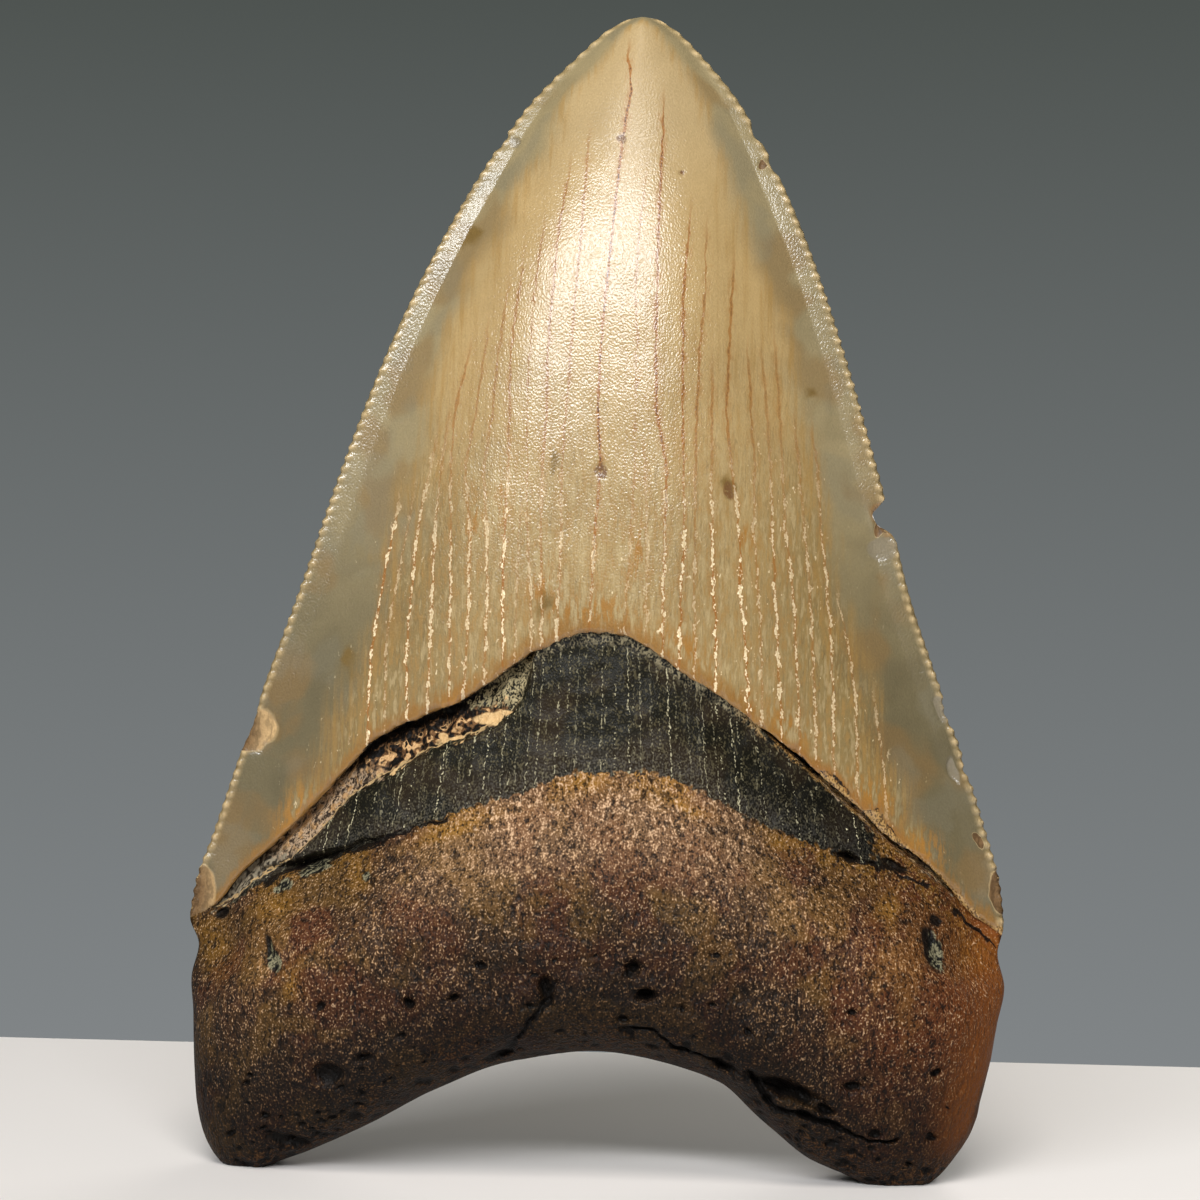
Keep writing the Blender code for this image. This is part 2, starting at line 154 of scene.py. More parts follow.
# Hairline cracks down the enamel, each a list of (height, x) from its lower end up
HAIRLINES = [
    [(44.2, -22.7), (50.6, -22.6), (54.1, -22.2), (59.6, -21.4), (66, -20.2)],
    [(46.7, -21), (52.7, -21.1), (57.6, -20.3), (63.6, -19.2), (67, -18.6)],
    [(45.6, -18.6), (50.7, -18.9), (54.2, -18.8), (63.6, -18.2), (69.6, -17.1), (74, -16.2)],
    [(46.1, -16.6), (54.2, -16.4), (63.6, -16.3), (69.6, -15.9), (75, -15.4)],
    [(46.9, -14.3), (54.3, -14.5), (63.6, -14.7), (69.6, -15), (75.6, -14.8), (81.7, -13.3)],
    [(48, -12.9), (54.3, -12.7), (63.7, -12.7), (69.6, -13.5), (75.6, -12.5), (84, -11.5)],
    [(49, -10.9), (57.8, -10.8), (63.7, -11), (69.6, -11.6), (75.6, -10.8), (81.6, -10.4), (88, -9.6)],
    [(51, -9), (57.8, -9.3), (63.7, -9.2), (69.6, -9), (81.6, -9.2), (87.6, -8.5), (91, -8)],
    [(51.5, -8), (57.8, -7.9), (63.7, -7.7), (67, -7.6)],
    [(52, -6.3), (57.9, -6.5), (63.7, -7.1), (75.5, -7.5), (81.5, -7.4), (87.6, -7.1), (93.7, -6.3)],
    [(52.5, -5.4), (63.7, -5.7), (69.6, -5.7), (75.5, -5.4), (81.5, -5.5), (93.6, -4.8), (99.8, -3.8)],
    [(53, -4), (63.7, -3.7), (69.6, -3.9), (81.5, -3.2), (87.5, -2.9), (93.5, -2.5), (102.8, -2.1)],
    [(55.2, -0.7), (63.8, -0.4), (69.7, 0), (75.5, -0.4), (81.5, -0.3), (87.4, 0.1), (93.5, 0.6),
     (102.9, 1.3), (108, 2.1), (111.7, 1.6)],
    [(54.3, 2.7), (63.9, 3.1), (69.7, 3.4), (81.5, 3.4), (87.5, 3), (93.5, 3.3), (99.7, 3.9)],
    [(53.2, 4.7), (58, 4.7), (63.9, 4.6), (69.7, 4.3), (72.7, 4)],
    [(53.2, 6.3), (63.9, 6.3), (69.8, 6.4), (75.6, 5.2), (81.6, 5), (93.6, 5), (99.7, 5.1), (106.5, 5.2)],
    [(51.3, 7.9), (58.1, 8.1), (64, 8.2), (75.7, 7.8), (87.6, 7.6), (95.3, 8.2)],
    [(50.4, 9.4), (58.1, 9.2), (69.9, 9.1), (75.8, 9.1), (81.7, 9.3), (87.8, 9.8), (93.9, 9.8)],
    [(49.9, 11.4), (54.8, 11.3), (58.2, 11), (64, 10.7), (75.8, 10.6), (80, 10.5)],
    [(47, 14.7), (51.4, 14.4), (58.2, 13.7), (64.1, 13.6), (70, 12.6), (75.9, 11.9),
     (87.9, 12.3), (90.5, 12.5)],
    [(46.3, 15.8), (51.4, 15.8), (58.2, 15.4), (64.1, 14.8), (70, 14.9), (76, 14.4), (82, 13.9)],
    [(44.6, 17.9), (51.4, 17.4), (64.2, 16.7), (70.1, 16.4), (76.1, 15.9), (82.1, 15.2)],
    [(42.6, 19.7), (51.4, 19.2), (58.3, 18.8), (64.2, 17.9), (76.1, 17.1), (83.2, 16.4)],
    [(42.1, 21.3), (51.5, 20.8), (58.3, 20.4), (64.3, 19.8), (70.2, 19.2), (75, 18.6)],
    [(40.7, 23), (47.5, 22.8), (58.4, 22.3), (64.3, 21.4), (70.3, 21), (74.3, 20.3)],
    [(40.2, 25.4), (47.5, 25.1), (51.5, 24.5), (57.4, 23.1)],
    [(38.2, 28.4), (41.6, 27.9), (47.5, 26.9)]]
# Patches of colour on the front: x, height, half-width, half-height, turn in degrees
OCHRE = [
    (18.3, 33.9, 1.6, 1, -25), (22.7, 32.2, 0.9, 1.2, -20), (38, 22.4, 2.2, 1.5, -40),
    (-38.4, 22, 2.6, 2.8, 0), (-22.9, 30.2, 1.6, 2.2, 0), (-13.7, 34.4, 5, 0.9, 22),
    (-0.5, 39.2, 3, 0.8, 0), (9, 37.4, 3, 0.7, -28), (-31.5, 26.4, 2.6, 1.2, 10),
    (29, 27.5, 1.2, 1.8, 0), (-29, 19, 1.2, 1.6, 0)]
CRYSTALS = [
    (-30.9, 28, 1.2, 0.6, 20), (-27.6, 29.9, 1.9, 0.6, 20), (-31, 21.4, 0.7, 1.6, 20),
    (33.8, 23, 0.8, 2, 15), (-22, 29.6, 0.5, 0.6, 0)]
CREAM = [
    (-9.7, 45.3, 2.2, 0.7, 8), (-14.8, 43.3, 0.6, 0.5, 0), (-13.3, 43, 0.7, 0.4, 0),
    (-19.8, 39.6, 0.9, 0.3, 30)]
OLIVE_STAINS = [
    (-13.9, 93.4, 1.1, 1.2, 0), (-24.9, 50.6, 0.7, 1.5, 0), (-4.9, 56.4, 0.7, 1.4, -20),
    (20.6, 77.9, 0.7, 0.7, 0), (-4.6, 70.3, 0.5, 1.2, 0), (12.8, 68.2, 0.7, 1.3, 0)]
AMBER_STAINS = [
    (-30, 35.6, 1.4, 3, -35), (-14, 46.5, 3, 1.2, 25), (-1, 56, 5, 1.3, 0),
    (14.5, 63.6, 0.7, 1, 0), (-5, 58, 1.3, 2, 0), (4, 62, 0.6, 3, 0), (-9.5, 66.5, 0.7, 2.2, 0),
    (-12.5, 64, 0.6, 3, 0), (9, 52.5, 3, 1.2, -30), (19, 45, 3, 1.4, -36),
    (27.5, 38, 3.2, 1.6, -38), (33, 33, 2.4, 1.3, -40)]
# Tiny pits in the enamel: the same measures and a depth
PITS = [
    (0.4, 69.6, 0.7, 0.8, 0, 0.05), (12.7, 67.9, 0.5, 0.9, 0, 0.08), (1.4, 102.9, 0.6, 0.5, 0, 0.08),
    (7.3, 99.6, 0.3, 0.3, 0, 0.08)]
# Fine dark cracks that wander through the enamel: one above the band on the right, one at the notch
WANDERING = [(0.1, 0.3, [(18.6, 43), (20.3, 41.9), (21.4, 40.5), (22.6, 40.6), (24, 39.5), (26.4, 36.6),
                         (28, 36.7), (29.3, 34.5), (30.8, 32.5), (33.4, 30.9)]),
             (0.1, 0.3, [(27.2, 67), (27.5, 65.9), (28.5, 64.7), (28.9, 63.8)])]
# Upper side of the worn tan strip along the enamel's lower edge on the right
WORN_STRIP = [
    (17, 43.6), (18.6, 43), (20.3, 41.9), (21.4, 40.5), (22.6, 40.6), (24, 39.5), (26.4, 36.9),
    (28, 36.7), (29.3, 34.6), (30.8, 33.3), (33.4, 31.4), (36.5, 28.2), (39.5, 25.2)]
# Width of the darker, thinner margin of the crown, as (height, width), left and right
LEFT_MARGIN = [
    (24, 7.5), (45, 9), (60, 9.6), (72, 7.4), (84, 5.4), (96, 5.4), (110, 3.4), (116, 2)]
RIGHT_MARGIN = [
    (24, 6.5), (45, 7.4), (60, 6.6), (72, 6.2), (84, 6), (96, 5.6), (110, 3), (116, 2)]
# How strong each hairline is: dark in the upper crown, and filled with pale mineral in the lower crown
HAIRLINE_DARK = [
    .2, .2, .2, .3, .4, .3, .3, .4, .3, .4, .45, .4, 1., .35, .3, .7, .55, .4, .35, .45, .35, .3, .3, .3, .3,
    .1, .1]
HAIRLINE_PALE = [
    .9, .35, .8, .7, .7, .6, .6, 1., .3, .45, .55, .6, .6, .35, .3, .75, .95, .4, 1., 1., .45, .75, .65, .5,
    .6, .45, .35]


def smooth(points, at):
    """Read a smooth curve without overshoot (a monotone cubic) through (place, value) points."""
    place, value = np.array(points, float).T
    step = np.diff(place)
    rise = np.diff(value) / step
    slope = np.concatenate([rise[:1], np.zeros(len(rise) - 1), rise[-1:]])
    same = np.flatnonzero(rise[:-1] * rise[1:] > 0)
    slope[same + 1] = 2 * rise[same] * rise[same + 1] / (rise[same] + rise[same + 1])
    at = np.clip(at, place[0], place[-1])
    i = np.clip(np.searchsorted(place, at, side="right") - 1, 0, len(step) - 1)
    s = (at - place[i]) / step[i]
    ends = value[i] * (1 + 2 * s) * (1 - s) ** 2 + value[i + 1] * s * s * (3 - 2 * s)
    return ends + step[i] * s * (1 - s) * (slope[i] * (1 - s) - slope[i + 1] * s)


def ease(low, high, at):
    """Rise smoothly from 0 at low to 1 at high."""
    t = np.clip((at - low) / (high - low), 0, 1)
    return t * t * (3 - 2 * t)


def across(height):
    """Middle and half-width of the tooth at a height."""
    left, right = smooth(LEFT_EDGE, height), smooth(RIGHT_EDGE, height)
    return (left + right) / 2, (right - left) / 2


def line(points, u):
    """Height of a line across the tooth at the column u, which is -1 at the left edge and 1 at the right."""
    x, height = np.array(points, float).T
    middle, half = across(height)
    place = (x - middle) / half
    place[0], place[-1] = -1, 1
    return smooth(np.stack([place, height], 1), u)


def round_off(depth, radius, power):
    """Grow from 0 at a rim to 1 at a radius inside it, as a rounded edge does."""
    t = np.clip(depth / radius, 0, 1)
    return (1 - (1 - t) ** power) ** (1 / power)


def wedge(u, half):
    """Depth of the thin wing along the cutting edge."""
    inward = (1 - np.abs(u)) * half
    return WING_DEPTH * (1 - np.exp(-inward / WING_REACH))


def crown_front(u, z):
    half = across(z)[1]
    wing = np.minimum(WING, 0.25 * half)
    inner = np.clip(np.abs(u) * half / (half - 0.6 * wing), 0, 1)
    dome = CROWN_BULGE * smooth(CROWN_SWELL, z) * (1 - inner ** 2) ** (1.35 - 0.3 * ease(70, 105, z))
    return dome + wedge(u, half)


def crown_back(u, z):
    half = across(z)[1]
    dome = CROWN_BACK * smooth(CROWN_BACK_SWELL, z) * (1 - u ** 2) ** 1.05
    return 0.8 * dome + wedge(u, half)


def root_front(u, z):
    """The root swells out below its upper line, and the line itself is a little proud of the crown."""
    top = line(ROOT_LINE, u)
    start = crown_front(u, line(ENAMEL_LINE, u)) + ROOT_STEP * (1 - u ** 2) ** 0.5
    full = ROOT_BULGE * smooth(ROOT_SWELL, z) * (1 - np.abs(u) ** ROOT_POWER) ** 0.5
    return start + (full - start) * ease(-1.5, 10.5, top - z)


def root_back(u, z):
    top = line(BACK_ROOT_LINE, u)
    start = crown_back(u, top) - 0.4
    full = ROOT_BACK * smooth(ROOT_BACK_SWELL, z) * (1 - np.abs(u) ** ROOT_POWER) ** 0.5
    channel = CHANNEL_DEPTH * np.exp(-(u / CHANNEL_WIDTH) ** 2)
    return start + (full - channel - start) * ease(-0.5, 8.5, top - z)


def warped(x, z, amount=0.35, size=1.1):
    """Places moved a little by noise, so that outlines drawn with them come out ragged."""
    side = np.zeros_like(x)
    return x + amount * bumps(x, z, side, size, 2.3), z + amount * bumps(x, z, side, size, 7.1)


def hollows(spots, x, z, power=1.6):
    """Depth of a list of pits or chips at a place, and how far inside one the place is, 0 to 1."""
    depth, inside = np.zeros_like(x), np.zeros_like(x)
    for at_x, at_z, wide, high, turn, deep in spots:
        reach = 2 * max(wide, high)
        near = (np.abs(x - at_x) < reach) & (np.abs(z - at_z) < reach)
        c, s = np.cos(np.radians(turn)), np.sin(np.radians(turn))
        dx, dz = x[near] - at_x, z[near] - at_z
        p, q = (dx * c + dz * s) / wide, (dz * c - dx * s) / high
        part = np.exp(-(p * p + q * q) ** power)
        depth[near] = np.maximum(depth[near], deep * part)
        inside[near] = np.maximum(inside[near], part)
    return depth, inside


def spotted(spots, x, z):
    """How far inside one of a list of coloured patches a place is, 0 to 1."""
    return hollows([spot + (1,) for spot in spots], x, z, 1.2)[1]


def from_segment(start, end, x, z):
    """How far along a segment each place is, 0 to 1 and beyond, its distance from it, and its side."""
    (ax, az), (bx, bz) = start, end
    run_x, run_z = bx - ax, bz - az
    t = ((x - ax) * run_x + (z - az) * run_z) / (run_x ** 2 + run_z ** 2)
    on = np.clip(t, 0, 1)
    away = np.hypot(x - ax - on * run_x, z - az - on * run_z)
    return t, away, np.sign((x - ax) * run_z - (z - az) * run_x)


def nearest_crack(paths, x, z):
    """Distance in millimetres to the nearest crack, positive on one side of it and negative on the other, its
    half-width, and 1 beside a crack but 0 past its ends."""
    nearest, wide, past = np.full_like(x, 9.0), np.full_like(x, 0.1), np.ones(x.shape, bool)
    for half_width, _, points in paths:
        for k, (start, end) in enumerate(zip(points, points[1:])):
            t, away, side = from_segment(start, end, x, z)
            closer = away < np.abs(nearest)
            nearest = np.where(closer, away * side, nearest)
            wide = np.where(closer, half_width, wide)
            past = np.where(closer, (k == 0) & (t < 0) | (k == len(points) - 2) & (t > 1), past)
    return np.clip(nearest, -1.5, 1.5), wide, (np.abs(nearest) < 1.2) & ~past


def pores(front):
    """Small pits scattered over the porous part of the root, thickest near its arch."""
    random = np.random.default_rng(11 if front else 23)
    u = random.uniform(-0.9, 0.9, PORES)
    z = line(FOOT, u) + 0.6 + random.exponential(2.8, PORES)
    middle, half = across(z)
    wide = random.uniform(0.16, 0.42, PORES) * random.uniform(0.8, 1.5, PORES)
    high = wide * random.uniform(0.5, 0.9, PORES)
    turn = np.where(u < 0.05, 22, -22) + random.uniform(-25, 25, PORES)
    return [tuple(map(float, spot)) for spot in zip(middle + u * half, z, wide, high, turn, 1.4 * wide)]


def crack_depth(paths, x, z):
    """Depth of open cracks at a place on the front."""
    depth = np.zeros_like(x)
    for wide, deep, points in paths:
        for start, end in zip(points, points[1:]):
            away = from_segment(start, end, x, z)[1]
            depth = np.maximum(depth, deep * np.clip(1 - away / wide, 0, 1))
    return depth


def bumps(x, y, z, size, seed):
    """Even noise of about -1 to 1 at each point, with lumps of the given size."""
    points = np.stack([x, y, z], -1).reshape(-1, 3) / size + seed
    return np.array([noise.noise(p) for p in points.tolist()]).reshape(x.shape)


def edge_cut(side, z):
    """How far an edge is cut back at a height by its serrations and nicks."""
    run = SLANT * z
    crowding = PITCH_SHIFT * np.sin(run / SHIFT_RUN + side)
    teeth = 0.5 - 0.5 * np.cos(2 * np.pi * run / SERRATION_PITCH + crowding)
    worn = 0.65 + 0.35 * np.sin(run / 7.1 + 2 * side)
    cut = SERRATION_DEPTH * teeth * worn * ease(CROWN_FOOT - 0.5, CROWN_FOOT + 2.5, z)
    for nick_side, at, wide, deep in NICKS:
        cut = cut + (nick_side == side) * deep * np.exp(-np.abs((z - at) / wide) ** 2.5)
    return cut


def rows(levels, counts):
    """Heights of all rows: the levels, and between them the counts of rows, closer together near the foot."""
    heights = [levels[0][None, :]]
    for lower, upper, count in zip(levels, levels[1:], counts):
        steps = np.arange(1, count + 1)[:, None] / count
        if lower is levels[0]:
            steps = steps ** 1.5
        heights.append(lower + (upper - lower) * steps)
    return np.vstack(heights)


# How finely the loft is divided before it is thinned, and the triangles left
ROWS = (190, 80, 2, 760) if FULL else (90, 40, 2, 380)
COLUMNS = 300 if FULL else 150
TRIANGLES = 194000 if FULL else 90000


def enamel_edge(front, u):
    """Height of the enamel's lower edge, a little ragged."""
    edge = line(ENAMEL_LINE if front else BACK_ENAMEL_LINE, u)
    still = ease(0, 0.06, 1 - np.abs(u))
    x = u * 40
    level = 0 * x
    ragged = 0.3 * bumps(x, level, level + front, 2.1, 4.4) + 0.14 * bumps(x, level, level, 0.6, 9.2)
    return edge + still * ragged


def relief(front, x, z, u, half, crown, broken, foot_gap):
    """Fine relief in millimetres: rough root and broken strip, nearly smooth enamel."""
    side = 0 * z + front
    inside = np.minimum(1, (1 - np.abs(u)) * half / 3)
    coarse = 0.42 * bumps(x, z, side, 5.5, 3.1) + 0.25 * bumps(x, z, side, 2.2, 8.7)
    grain = 0.1 * bumps(x, z, side, 0.9, 5.2)
    torn = 0.75 * bumps(x, z, side, 1.5, 6.3) + 0.35 * bumps(x, z, side, 0.7, 2.6)
    worn_arch = ease(6.5, 1.5, foot_gap) * 0.4 * bumps(x, z, side, 1.3, 7.9)
    rough = coarse + np.where(broken > 0.3, torn, 0) + (grain + worn_arch) * (1 - crown)
    return rough * inside * np.where(crown > 0.5, 0.12, 1.0)


def sheet(front):
    """Points of the front or the back of the tooth, as an array of rows of columns."""
    t = np.linspace(-1, 1, COLUMNS + 1)
    u = 0.3 * t + 0.7 * np.sin(t * np.pi / 2)
    foot = line(FOOT, u)
    root_top = line(ROOT_LINE if front else BACK_ROOT_LINE, u)
    enamel = enamel_edge(front, u)
    tip = TIP_HEIGHT - TIP_CROWN * u ** 2
    z = rows([foot, root_top, enamel - LIP_RUN, enamel, tip], ROWS)
    u = np.broadcast_to(u, z.shape)
    middle, half = across(z)
    x = middle + u * half
    crown = (z > enamel - LIP_RUN / 2) * 1.0
    above = ease(root_top, enamel - LIP_RUN, z)
    broken = np.zeros_like(z)
    if front:
        band = root_front(u, z) * (1 - above) + crown_front(u, enamel) * above - LIP * above
        torn_from = line(BROKEN_LINE, u)
        broken = ease(-0.3, 0.5, z - torn_from) * (torn_from < enamel - 0.2) * (1 - crown)
        undercut = ease(2.5, 0, enamel - z)
        band = band - TORN_SINK * broken * (1 + 0.7 * undercut)
        depth = np.where(crown > 0, crown_front(u, z), band)
    else:
        band = root_back(u, z) * (1 - above) + (crown_back(u, enamel) - LIP) * above
        depth = np.where(crown > 0, crown_back(u, z), band)
    depth = depth + relief(front, x, z, u, half, crown, broken, z - foot)
    inside = np.minimum(1, (1 - np.abs(u)) * half / 3)
    ragged_x, ragged_z = warped(x, z)
    root = inside * (1 - crown)
    depth = depth - hollows(pores(front), ragged_x, ragged_z)[0] * root
    if front:
        holes = hollows(HOLES, ragged_x, ragged_z)[0] + crack_depth(CRACKS, ragged_x, ragged_z)
        depth = depth - holes * root
        flaked = hollows(PALE_CHIPS + GLASSY_CHIPS, ragged_x, ragged_z, 2.5)[0]
        depth = depth - (flaked + hollows(PITS, ragged_x, ragged_z)[0]) * inside * crown
    depth = np.maximum(depth, 0.15 * inside)
    depth = depth * round_off(z - foot, FOOT_RADIUS, 2.6) * round_off(tip - z, TIP_RADIUS, 2.3)
    cut = np.where(u < 0, edge_cut(-1, z), edge_cut(1, z))
    x = x - np.sign(u) * cut * np.clip(1 - (1 - np.abs(u)) * half / 2.2, 0, 1) ** 1.5
    y = smooth(EDGE_PLANE, z) + (-depth if front else depth)
    low, high = np.array(cad_box)[:, 1] / MM + ORIGIN[1]
    return np.stack([x, np.clip(y, low + 0.02, high - 0.02), np.maximum(z, 0)], -1)


def fine_mesh():
    """The dense closed loft: the front and back sheets joined along their rim."""
    front, back = sheet(True), sheet(False)
    high, wide = front.shape[:2]
    front_id = np.arange(high * wide).reshape(high, wide)
    back_id = front_id.copy()
    back_id[1:-1, 1:-1] = high * wide + np.arange((high - 2) * (wide - 2)).reshape(high - 2, wide - 2)
    points = np.concatenate([front.reshape(-1, 3), back[1:-1, 1:-1].reshape(-1, 3)])
    quads = []
    for ids in (front_id, back_id[:, ::-1]):
        quads.append(np.stack([ids[:-1, :-1], ids[:-1, 1:], ids[1:, 1:], ids[1:, :-1]], -1).reshape(-1, 4))
    quads = np.concatenate(quads).astype(np.int32)
    mesh = bpy.data.meshes.new("tooth_fine")
    mesh.vertices.add(len(points))
    mesh.vertices.foreach_set("co", (points * MM).ravel())
    mesh.loops.add(quads.size)
    mesh.loops.foreach_set("vertex_index", quads.ravel())
    mesh.polygons.add(len(quads))
    mesh.polygons.foreach_set("loop_start", np.arange(0, quads.size, 4, dtype=np.int32))
    mesh.update(calc_edges=True)
    mesh.validate()
    return mesh


def thinned(mesh):
    """The same surface with triangles only where its shape needs them."""
    dense = bpy.data.objects.new("tooth_dense", mesh)
    bpy.context.scene.collection.objects.link(dense)
    thin = dense.modifiers.new("thin", "DECIMATE")
    thin.ratio = TRIANGLES / (2 * len(mesh.polygons))
    shape = bpy.data.meshes.new_from_object(dense.evaluated_get(bpy.context.evaluated_depsgraph_get()))
    bpy.data.objects.remove(dense)
    bpy.data.meshes.remove(mesh)
    return shape


def patchy(x, y, z, size, seed):
    """Uneven noise of 0 to 1 about 0.5, in lumps of the given size with smaller ones among them."""
    return 0.5 + 0.55 * sum(bumps(x, y, z, size / scale, seed * scale) / scale for scale in (1, 2, 4))


def ripples(x, z):
    """Distance from the outer end of the nearest chip, along which its broken face is rippled."""
    far = np.full_like(x, 9.0)
    for at_x, at_z, wide, *_ in PALE_CHIPS:
        far = np.minimum(far, np.hypot(x - at_x - np.sign(at_x) * wide, (z - at_z) * 0.8))
    return far


def hairline_fields(x, z):
    """A coordinate that is a whole number on each hairline, the gap to the next, and their strengths."""
    order = [np.interp(z, *np.array(path).T) for path in HAIRLINES]
    paths = np.maximum.accumulate(np.stack(order) + 0.02 * np.arange(len(order))[:, None], 0)
    paths = np.concatenate([paths[:1] - 2.0, paths, paths[-1:] + 2.0])
    place = np.clip((x[None] > paths).sum(0) - 1, 0, len(paths) - 2)
    each = np.arange(len(x))
    gap = paths[place + 1, each] - paths[place, each]
    coordinate = place + np.clip((x - paths[place, each]) / gap, -1, 2)
    nearest = np.clip(np.round(coordinate).astype(int) - 1, 0, len(HAIRLINES) - 1)
    low = np.array([path[0][0] for path in HAIRLINES])[nearest]
    high = np.array([path[-1][0] for path in HAIRLINES])[nearest]
    within = ease(low - 6, low, z) * ease(high + 2.5, high - 3, z)
    on_one = (coordinate > 0.5) & (coordinate < len(HAIRLINES) + 0.5)
    dark = np.array(HAIRLINE_DARK)[nearest] * within * (0.4 + 0.6 * ease(55, 76, z)) * on_one
    pale = np.array(HAIRLINE_PALE)[nearest] * within * ease(76, 60, z) * on_one
    return coordinate, gap, dark, pale


def fields(points):
    """What the finish needs to know at each point of the tooth: where it is on the crown, band and root."""
    x, y, z = points.T
    middle, half = across(z)
    u = np.clip((x - middle) / half, -1, 1)
    front = y < smooth(EDGE_PLANE, z)
    enamel = np.where(front, enamel_edge(True, u), enamel_edge(False, u))
    root_top = np.where(front, line(ROOT_LINE, u), line(BACK_ROOT_LINE, u))
    broken_line = line(BROKEN_LINE, u)
    coordinate, gap, dark, pale = hairline_fields(x, z)
    plain = np.where(z > enamel + 2, 0.14, 0.06)
    broken = np.where(front & (broken_line < enamel - 0.3), z - broken_line, -5.0)
    inward = (1 - np.abs(u)) * half
    margin = np.where(u < 0, smooth(LEFT_MARGIN, z), smooth(RIGHT_MARGIN, z))
    ragged_x, ragged_z = warped(x, z)
    crack, crack_width, near_crack = nearest_crack(CRACKS, ragged_x, ragged_z)
    wander, _, near_wander = nearest_crack(WANDERING, ragged_x, ragged_z)
    front_pores, back_pores = (hollows(pores(face), ragged_x, ragged_z)[1] for face in (True, False))
    pore = np.where(front, front_pores, back_pores)
    hole = np.maximum(hollows(HOLES, ragged_x, ragged_z)[1] * front, pore)
    soft_x, soft_z = warped(x, z, 0.8, 1.6)
    worn = np.where((x > WORN_STRIP[0][0]) & front, np.interp(x, *np.array(WORN_STRIP).T) - z, -2.0)
    back_lines = 0.4 * x + 1.3 * bumps(x, 0 * x, 0 * x, 4.6, 14.2)
    found = {
        "above": z - enamel, "root_gap": root_top - z, "broken": np.clip(broken, -5, 5),
        "inward": inward, "margin": inward / margin, "sideways": u, "along": u * 40, "height": z,
        "foot_gap": z - line(FOOT, u), "hairline": np.where(front, coordinate, back_lines),
        "hairline_gap": np.where(front, np.clip(gap, 0.5, 4), 2.0),
        "hairline_dark": np.where(front, dark, plain), "hairline_pale": pale * front,
        "hole": hole, "crack": crack, "crack_width": crack_width, "near_crack": near_crack * front,
        "wander": wander, "near_wander": near_wander * front, "ripple": ripples(x, z),
        "worn": np.clip(worn, -2, 2)}
    damage = (("pale_chip", PALE_CHIPS, 2.5), ("glassy_chip", GLASSY_CHIPS, 2.5), ("pit", PITS, 1.6))
    for name, spots, power in damage:
        found[name] = hollows(spots, ragged_x, ragged_z, power)[1] * front
    for name, spots in (("crystal", CRYSTALS), ("cream", CREAM)):
        found[name] = spotted(spots, ragged_x, ragged_z) * front
    for name, spots in (("ochre", OCHRE), ("olive_stain", OLIVE_STAINS), ("amber_stain", AMBER_STAINS)):
        found[name] = spotted(spots, soft_x, soft_z) * front
    clouds = (("cloudy", 6.0, 3.3), ("red", 7.0, 11.1), ("purple", 5.0, 17.9), ("tawny", 6.0, 23.7))
    for name, size, seed in clouds:
        found[name] = patchy(x, y, z, size, seed)
    return found


def build_tooth():
    shape = thinned(fine_mesh())
    points = np.empty(len(shape.vertices) * 3, np.float32)
    shape.vertices.foreach_get("co", points)
    points = points.reshape(-1, 3).astype(float) / MM
    points[:, 2] = np.maximum(points[:, 2], 0)
    shape.vertices.foreach_set("co", (points * MM).ravel())
    for name, values in fields(points).items():
        layer = shape.attributes.new(name, "FLOAT", "POINT")
        layer.data.foreach_set("value", np.asarray(values, np.float32))
    shape.transform(Matrix.Translation((-ORIGIN[0] * MM, -ORIGIN[1] * MM, 0)))
    shape.shade_smooth()
    tooth = bpy.data.objects.new("fossil_tooth", shape)
    bpy.context.scene.collection.objects.link(tooth)
    return tooth


